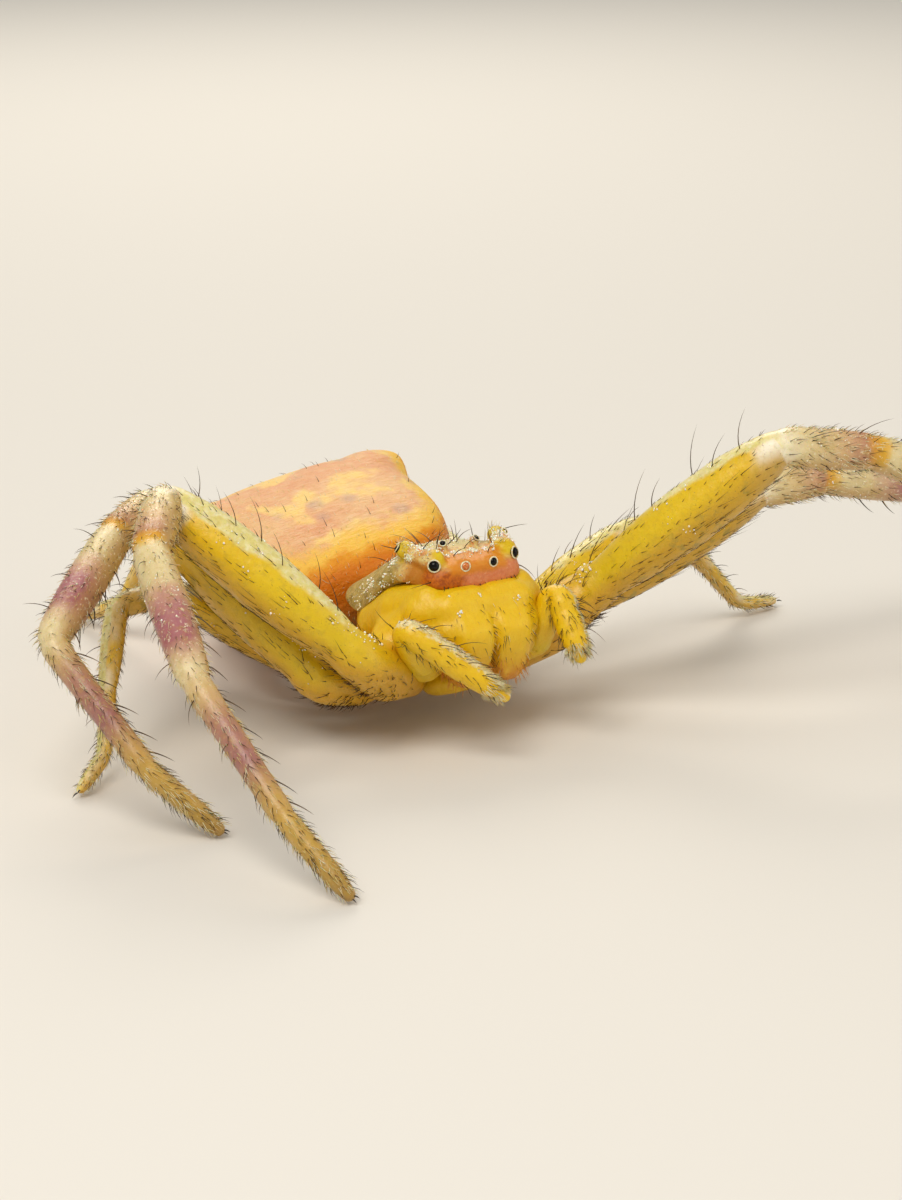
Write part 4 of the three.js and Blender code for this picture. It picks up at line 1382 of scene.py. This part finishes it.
make_coat("coat_short_dark", short_dark, dark_bristle, 2)
make_coat("coat_fine_dark", fine_dark, dark_bristle, 2)
make_coat("coat_long_dark", long_dark, dark_bristle, 6)
make_coat("coat_pale", pale, pale_hair, 2)
make_coat("coat_jaw_fringe", fringe, orange_hair, 3)

# White grains: glassy beads of cuticle on the head, the thighs' pale stripes and the
# shins, some in clusters.
grain_white, tree, shader = new_material("grain_white_glassy")
tree.links.new(
    blend(tree, spread(tree, clouds(tree, 8.0, 1.0), 0.35, 0.65), "#fffaf0", "#efe2c0"),
    shader.inputs["Base Color"],
)
shader.inputs["Roughness"].default_value = 0.12
shader.inputs["IOR"].default_value = 1.5
shader.inputs["Subsurface Weight"].default_value = 0.3
shader.inputs["Subsurface Scale"].default_value = 0.00005
shader.inputs["Coat Weight"].default_value = 0.6
grains = []


def grain(root, normal, radius, unwrapped):
    if any((Vector(root) - eye).length < reach * 1.2 for eye, reach in eye_centres):
        return
    grains.append((*(root + normal * radius * 0.25), radius, *unwrapped[:2]))


def grain_size(smallest, largest):
    """Most grains are small and a few are large."""
    return smallest + (largest - smallest) * chance.random() ** 3


for _ in range(760):
    near = (chance.uniform(-1.1, 1.1), chance.uniform(-1.5, 0.9), 3.3)
    root, normal = root_on(carapace_tree, near)
    if root[2] > 2.9 - 0.35 * max(0.0, root[1] + 0.9):
        grain(root, normal, grain_size(0.006, 0.02), head_map(root))
for cluster in ((0.93, -1.02, 3.02), (0.55, -1.15, 3.1), (0.33, -0.98, 3.14), (0.15, -1.2, 3.1),
                (0.78, -0.95, 3.1), (1.0, -0.6, 2.9), (0.42, -1.25, 3.12), (0.7, -1.1, 3.15)):
    for side in (-1, 1):
        for _ in range(38):
            near = np.array((side * cluster[0], cluster[1], cluster[2])) + chance.normal(0, 0.045, 3)
            root, normal = root_on(carapace_tree, near)
            grain(root, normal, grain_size(0.01, 0.03), head_map(root))
for _ in range(70):  # small clumps down the shield's sides, as far as its edge
    side = chance.choice((-1, 1))
    near = np.array((side * 1.4, chance.uniform(-1.3, 0.5), chance.uniform(1.8, 2.9)))
    for _ in range(chance.integers(2, 8)):
        root, normal = root_on(carapace_tree, near + chance.normal(0, 0.05, 3))
        grain(root, normal, grain_size(0.007, 0.022), head_map(root))
for leg in legs.values():
    thick = 1.0 if leg["pair"] < 3 else 0.7
    for _ in range(16):
        middle_at, middle_around = chance.uniform(1.08, 1.96), chance.normal(0, 1.1)
        for _ in range(chance.integers(2, 8)):
            at = middle_at + chance.normal(0, 0.012)
            around = middle_around + chance.normal(0, 0.12)
            root, outwards = leg_point(leg, at, around)
            grain(root, outwards, grain_size(0.007, 0.024) * thick, leg_map(leg, at, around))
    for _ in range(40):
        middle_at, middle_around = chance.uniform(1.97, 3.9), chance.normal(0, 1.3)
        for _ in range(chance.integers(1, 6)):
            at = middle_at + chance.normal(0, 0.02)
            around = middle_around + chance.normal(0, 0.2)
            root, outwards = leg_point(leg, at, around)
            grain(root, outwards, grain_size(0.007, 0.022) * thick, leg_map(leg, at, around))
    for _ in range(26):
        at = chance.normal(1.04, 0.04)
        around = chance.normal(0, 0.5)
        root, outwards = leg_point(leg, at, around)
        grain(root, outwards, grain_size(0.012, 0.034) * thick, leg_map(leg, at, around))
for label, palp in palps.items():
    for _ in range(90):
        at = chance.uniform(0.95, 1.95)
        around = chance.normal(0, 0.28)
        root, outwards = leg_point(palp, at, around)
        grain(root, outwards, grain_size(0.008, 0.024), palp_map(label, at, around))
for side, share, angle, count in (
    (-1, -0.62, 2.0, 5), (-1, -0.86, 1.2, 3), (-1, -0.9, 2.6, 2), (1, -0.7, 1.4, 5), (1, 0.92, 0.6, 2)
):
    for _ in range(count):
        root, normal, unwrapped = on_jaw(
            side, share + chance.normal(0, 0.025), angle + chance.normal(0, 0.12)
        )
        grain(root, normal, chance.uniform(0.012, 0.028), unwrapped)

ball = bmesh.new()
bmesh.ops.create_icosphere(ball, subdivisions=1, radius=1)
ball_points = np.array([v.co[:] for v in ball.verts])
ball.verts.index_update()
ball_faces = np.array([[v.index for v in f.verts] for f in ball.faces])
ball.free()
data = np.array(grains)
spots = (ball_points[None] * data[:, 3][:, None, None] + data[:, None, 0:3]).reshape(-1, 3)
corners = (ball_faces[None] + (np.arange(len(data)) * len(ball_points))[:, None, None]).reshape(-1)
maps = np.repeat(data[:, 4:6], len(ball_points), axis=0)
maps = maps + np.tile(ball_points[:, :2] * PATCH / 2, (len(data), 1))
mesh = bpy.data.meshes.new("grains")
mesh.vertices.add(len(spots))
mesh.vertices.foreach_set("co", ((spots + np.array(CENTRING)) * MM).ravel())
mesh.loops.add(len(corners))
mesh.loops.foreach_set("vertex_index", corners)
mesh.polygons.add(len(corners) // 3)
mesh.polygons.foreach_set("loop_start", np.arange(0, len(corners), 3))
mesh.update(calc_edges=True)
mesh.attributes.new("spot", "FLOAT_VECTOR", "POINT").data.foreach_set("vector", spots.ravel())
mesh.uv_layers.new(name="OFBake").data.foreach_set("uv", maps[corners].ravel())
mesh.polygons.foreach_set("use_smooth", np.ones(len(corners) // 3, bool))
mesh.materials.append(grain_white)
grain_piece = bpy.data.objects.new("grains", mesh)
bpy.context.scene.collection.objects.link(grain_piece)
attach(grain_piece, "root")

# Claws: a pair of dark curved hooks at each foot, which stand on the ground, and a fang
# folded in under each jaw.
claw_horn, tree, shader = new_material("claw_horn_dark")
shader.inputs["Base Color"].default_value = linear("#2c1a0c")
shader.inputs["Roughness"].default_value = 0.25
shader.inputs["Coat Weight"].default_value = 0.4


def hook(parts, start, way, bend, length, radius):
    """A tapered hook: a ring drawn out along its curve to a closed point."""
    start, way, bend = Vector(start), Vector(way).normalized(), Vector(bend)
    turned = way.to_track_quat("Z", "Y").to_matrix()
    made = bmesh.ops.create_uvsphere(parts, u_segments=8, v_segments=10, radius=1)
    for vert in made["verts"]:
        reach = (vert.co.z + 1) / 2
        flat = Vector((vert.co.x, vert.co.y, 0)) * radius * (1 - reach) ** 0.35
        vert.co = start + (way + bend * reach) * length * reach + turned @ flat


claws = bmesh.new()
for leg in legs.values():
    middle, along_way, upside = leg_axis(leg, 6.0)
    sideways = np.cross(along_way, upside)
    flat = unit(np.array((along_way[0], along_way[1], 0)))
    for side in (-1, 1):
        start = middle + along_way * 0.07 + sideways * 0.04 * side
        start[2] = max(start[2], 0.09)
        hook(claws, start, flat * 0.7 + np.array((0, 0, 0.35)) + sideways * 0.25 * side,
             (0, 0, -0.62), 0.13, 0.018)
finish_piece("claws", claws, claw_horn)
fangs = bmesh.new()
for side in (-1, 1):
    hook(fangs, (side * 0.44, -1.86, 1.06), (-side * 0.55, 0.35, -0.45), (-side * 0.1, 0.25, 0.2),
         0.3, 0.06)
finish_piece("fangs", fangs, claw_horn)

# Floor: a wide pale sheet under the feet.
floor_paper, tree, shader = new_material("floor_pale_paper")
shader.inputs["Base Color"].default_value = linear("#e2e0db")
shader.inputs["Roughness"].default_value = 0.85
floor = bmesh.new()
bmesh.ops.create_grid(floor, x_segments=1, y_segments=1, size=1.5)
floor_mesh = bpy.data.meshes.new("floor")
floor.to_mesh(floor_mesh)
floor.free()
floor_mesh.materials.append(floor_paper)
floor_piece = bpy.data.objects.new("floor", floor_mesh)
bpy.context.scene.collection.objects.link(floor_piece)

# Light: one broad soft light above and behind the camera's left, a weaker one on the
# right, one from behind to edge the hairs, and a pale surround.
for name, place, size, power, colour in (
    ("key", (-40, -30, 75), 50, 0.05, "#fff8ee"),
    ("fill", (60, -50, 35), 70, 0.014, "#fff4e6"),
    ("rim", (30, 70, 60), 50, 0.035, "#fff6e8"),
):
    data = bpy.data.lights.new(name, "AREA")
    data.size = size * MM
    data.energy = power
    data.color = linear(colour)[:3]
    light = bpy.data.objects.new(name, data)
    light.location = placed(place)
    light.rotation_mode = "QUATERNION"
    light.rotation_quaternion = (placed((0, 0, 2)) - light.location).to_track_quat("-Z", "Y")
    bpy.context.scene.collection.objects.link(light)
world = bpy.data.worlds.new("surround")
world.use_nodes = True
background = world.node_tree.nodes["Background"]
background.inputs["Color"].default_value = linear("#f4f1ea")
background.inputs["Strength"].default_value = 0.42
bpy.context.scene.world = world
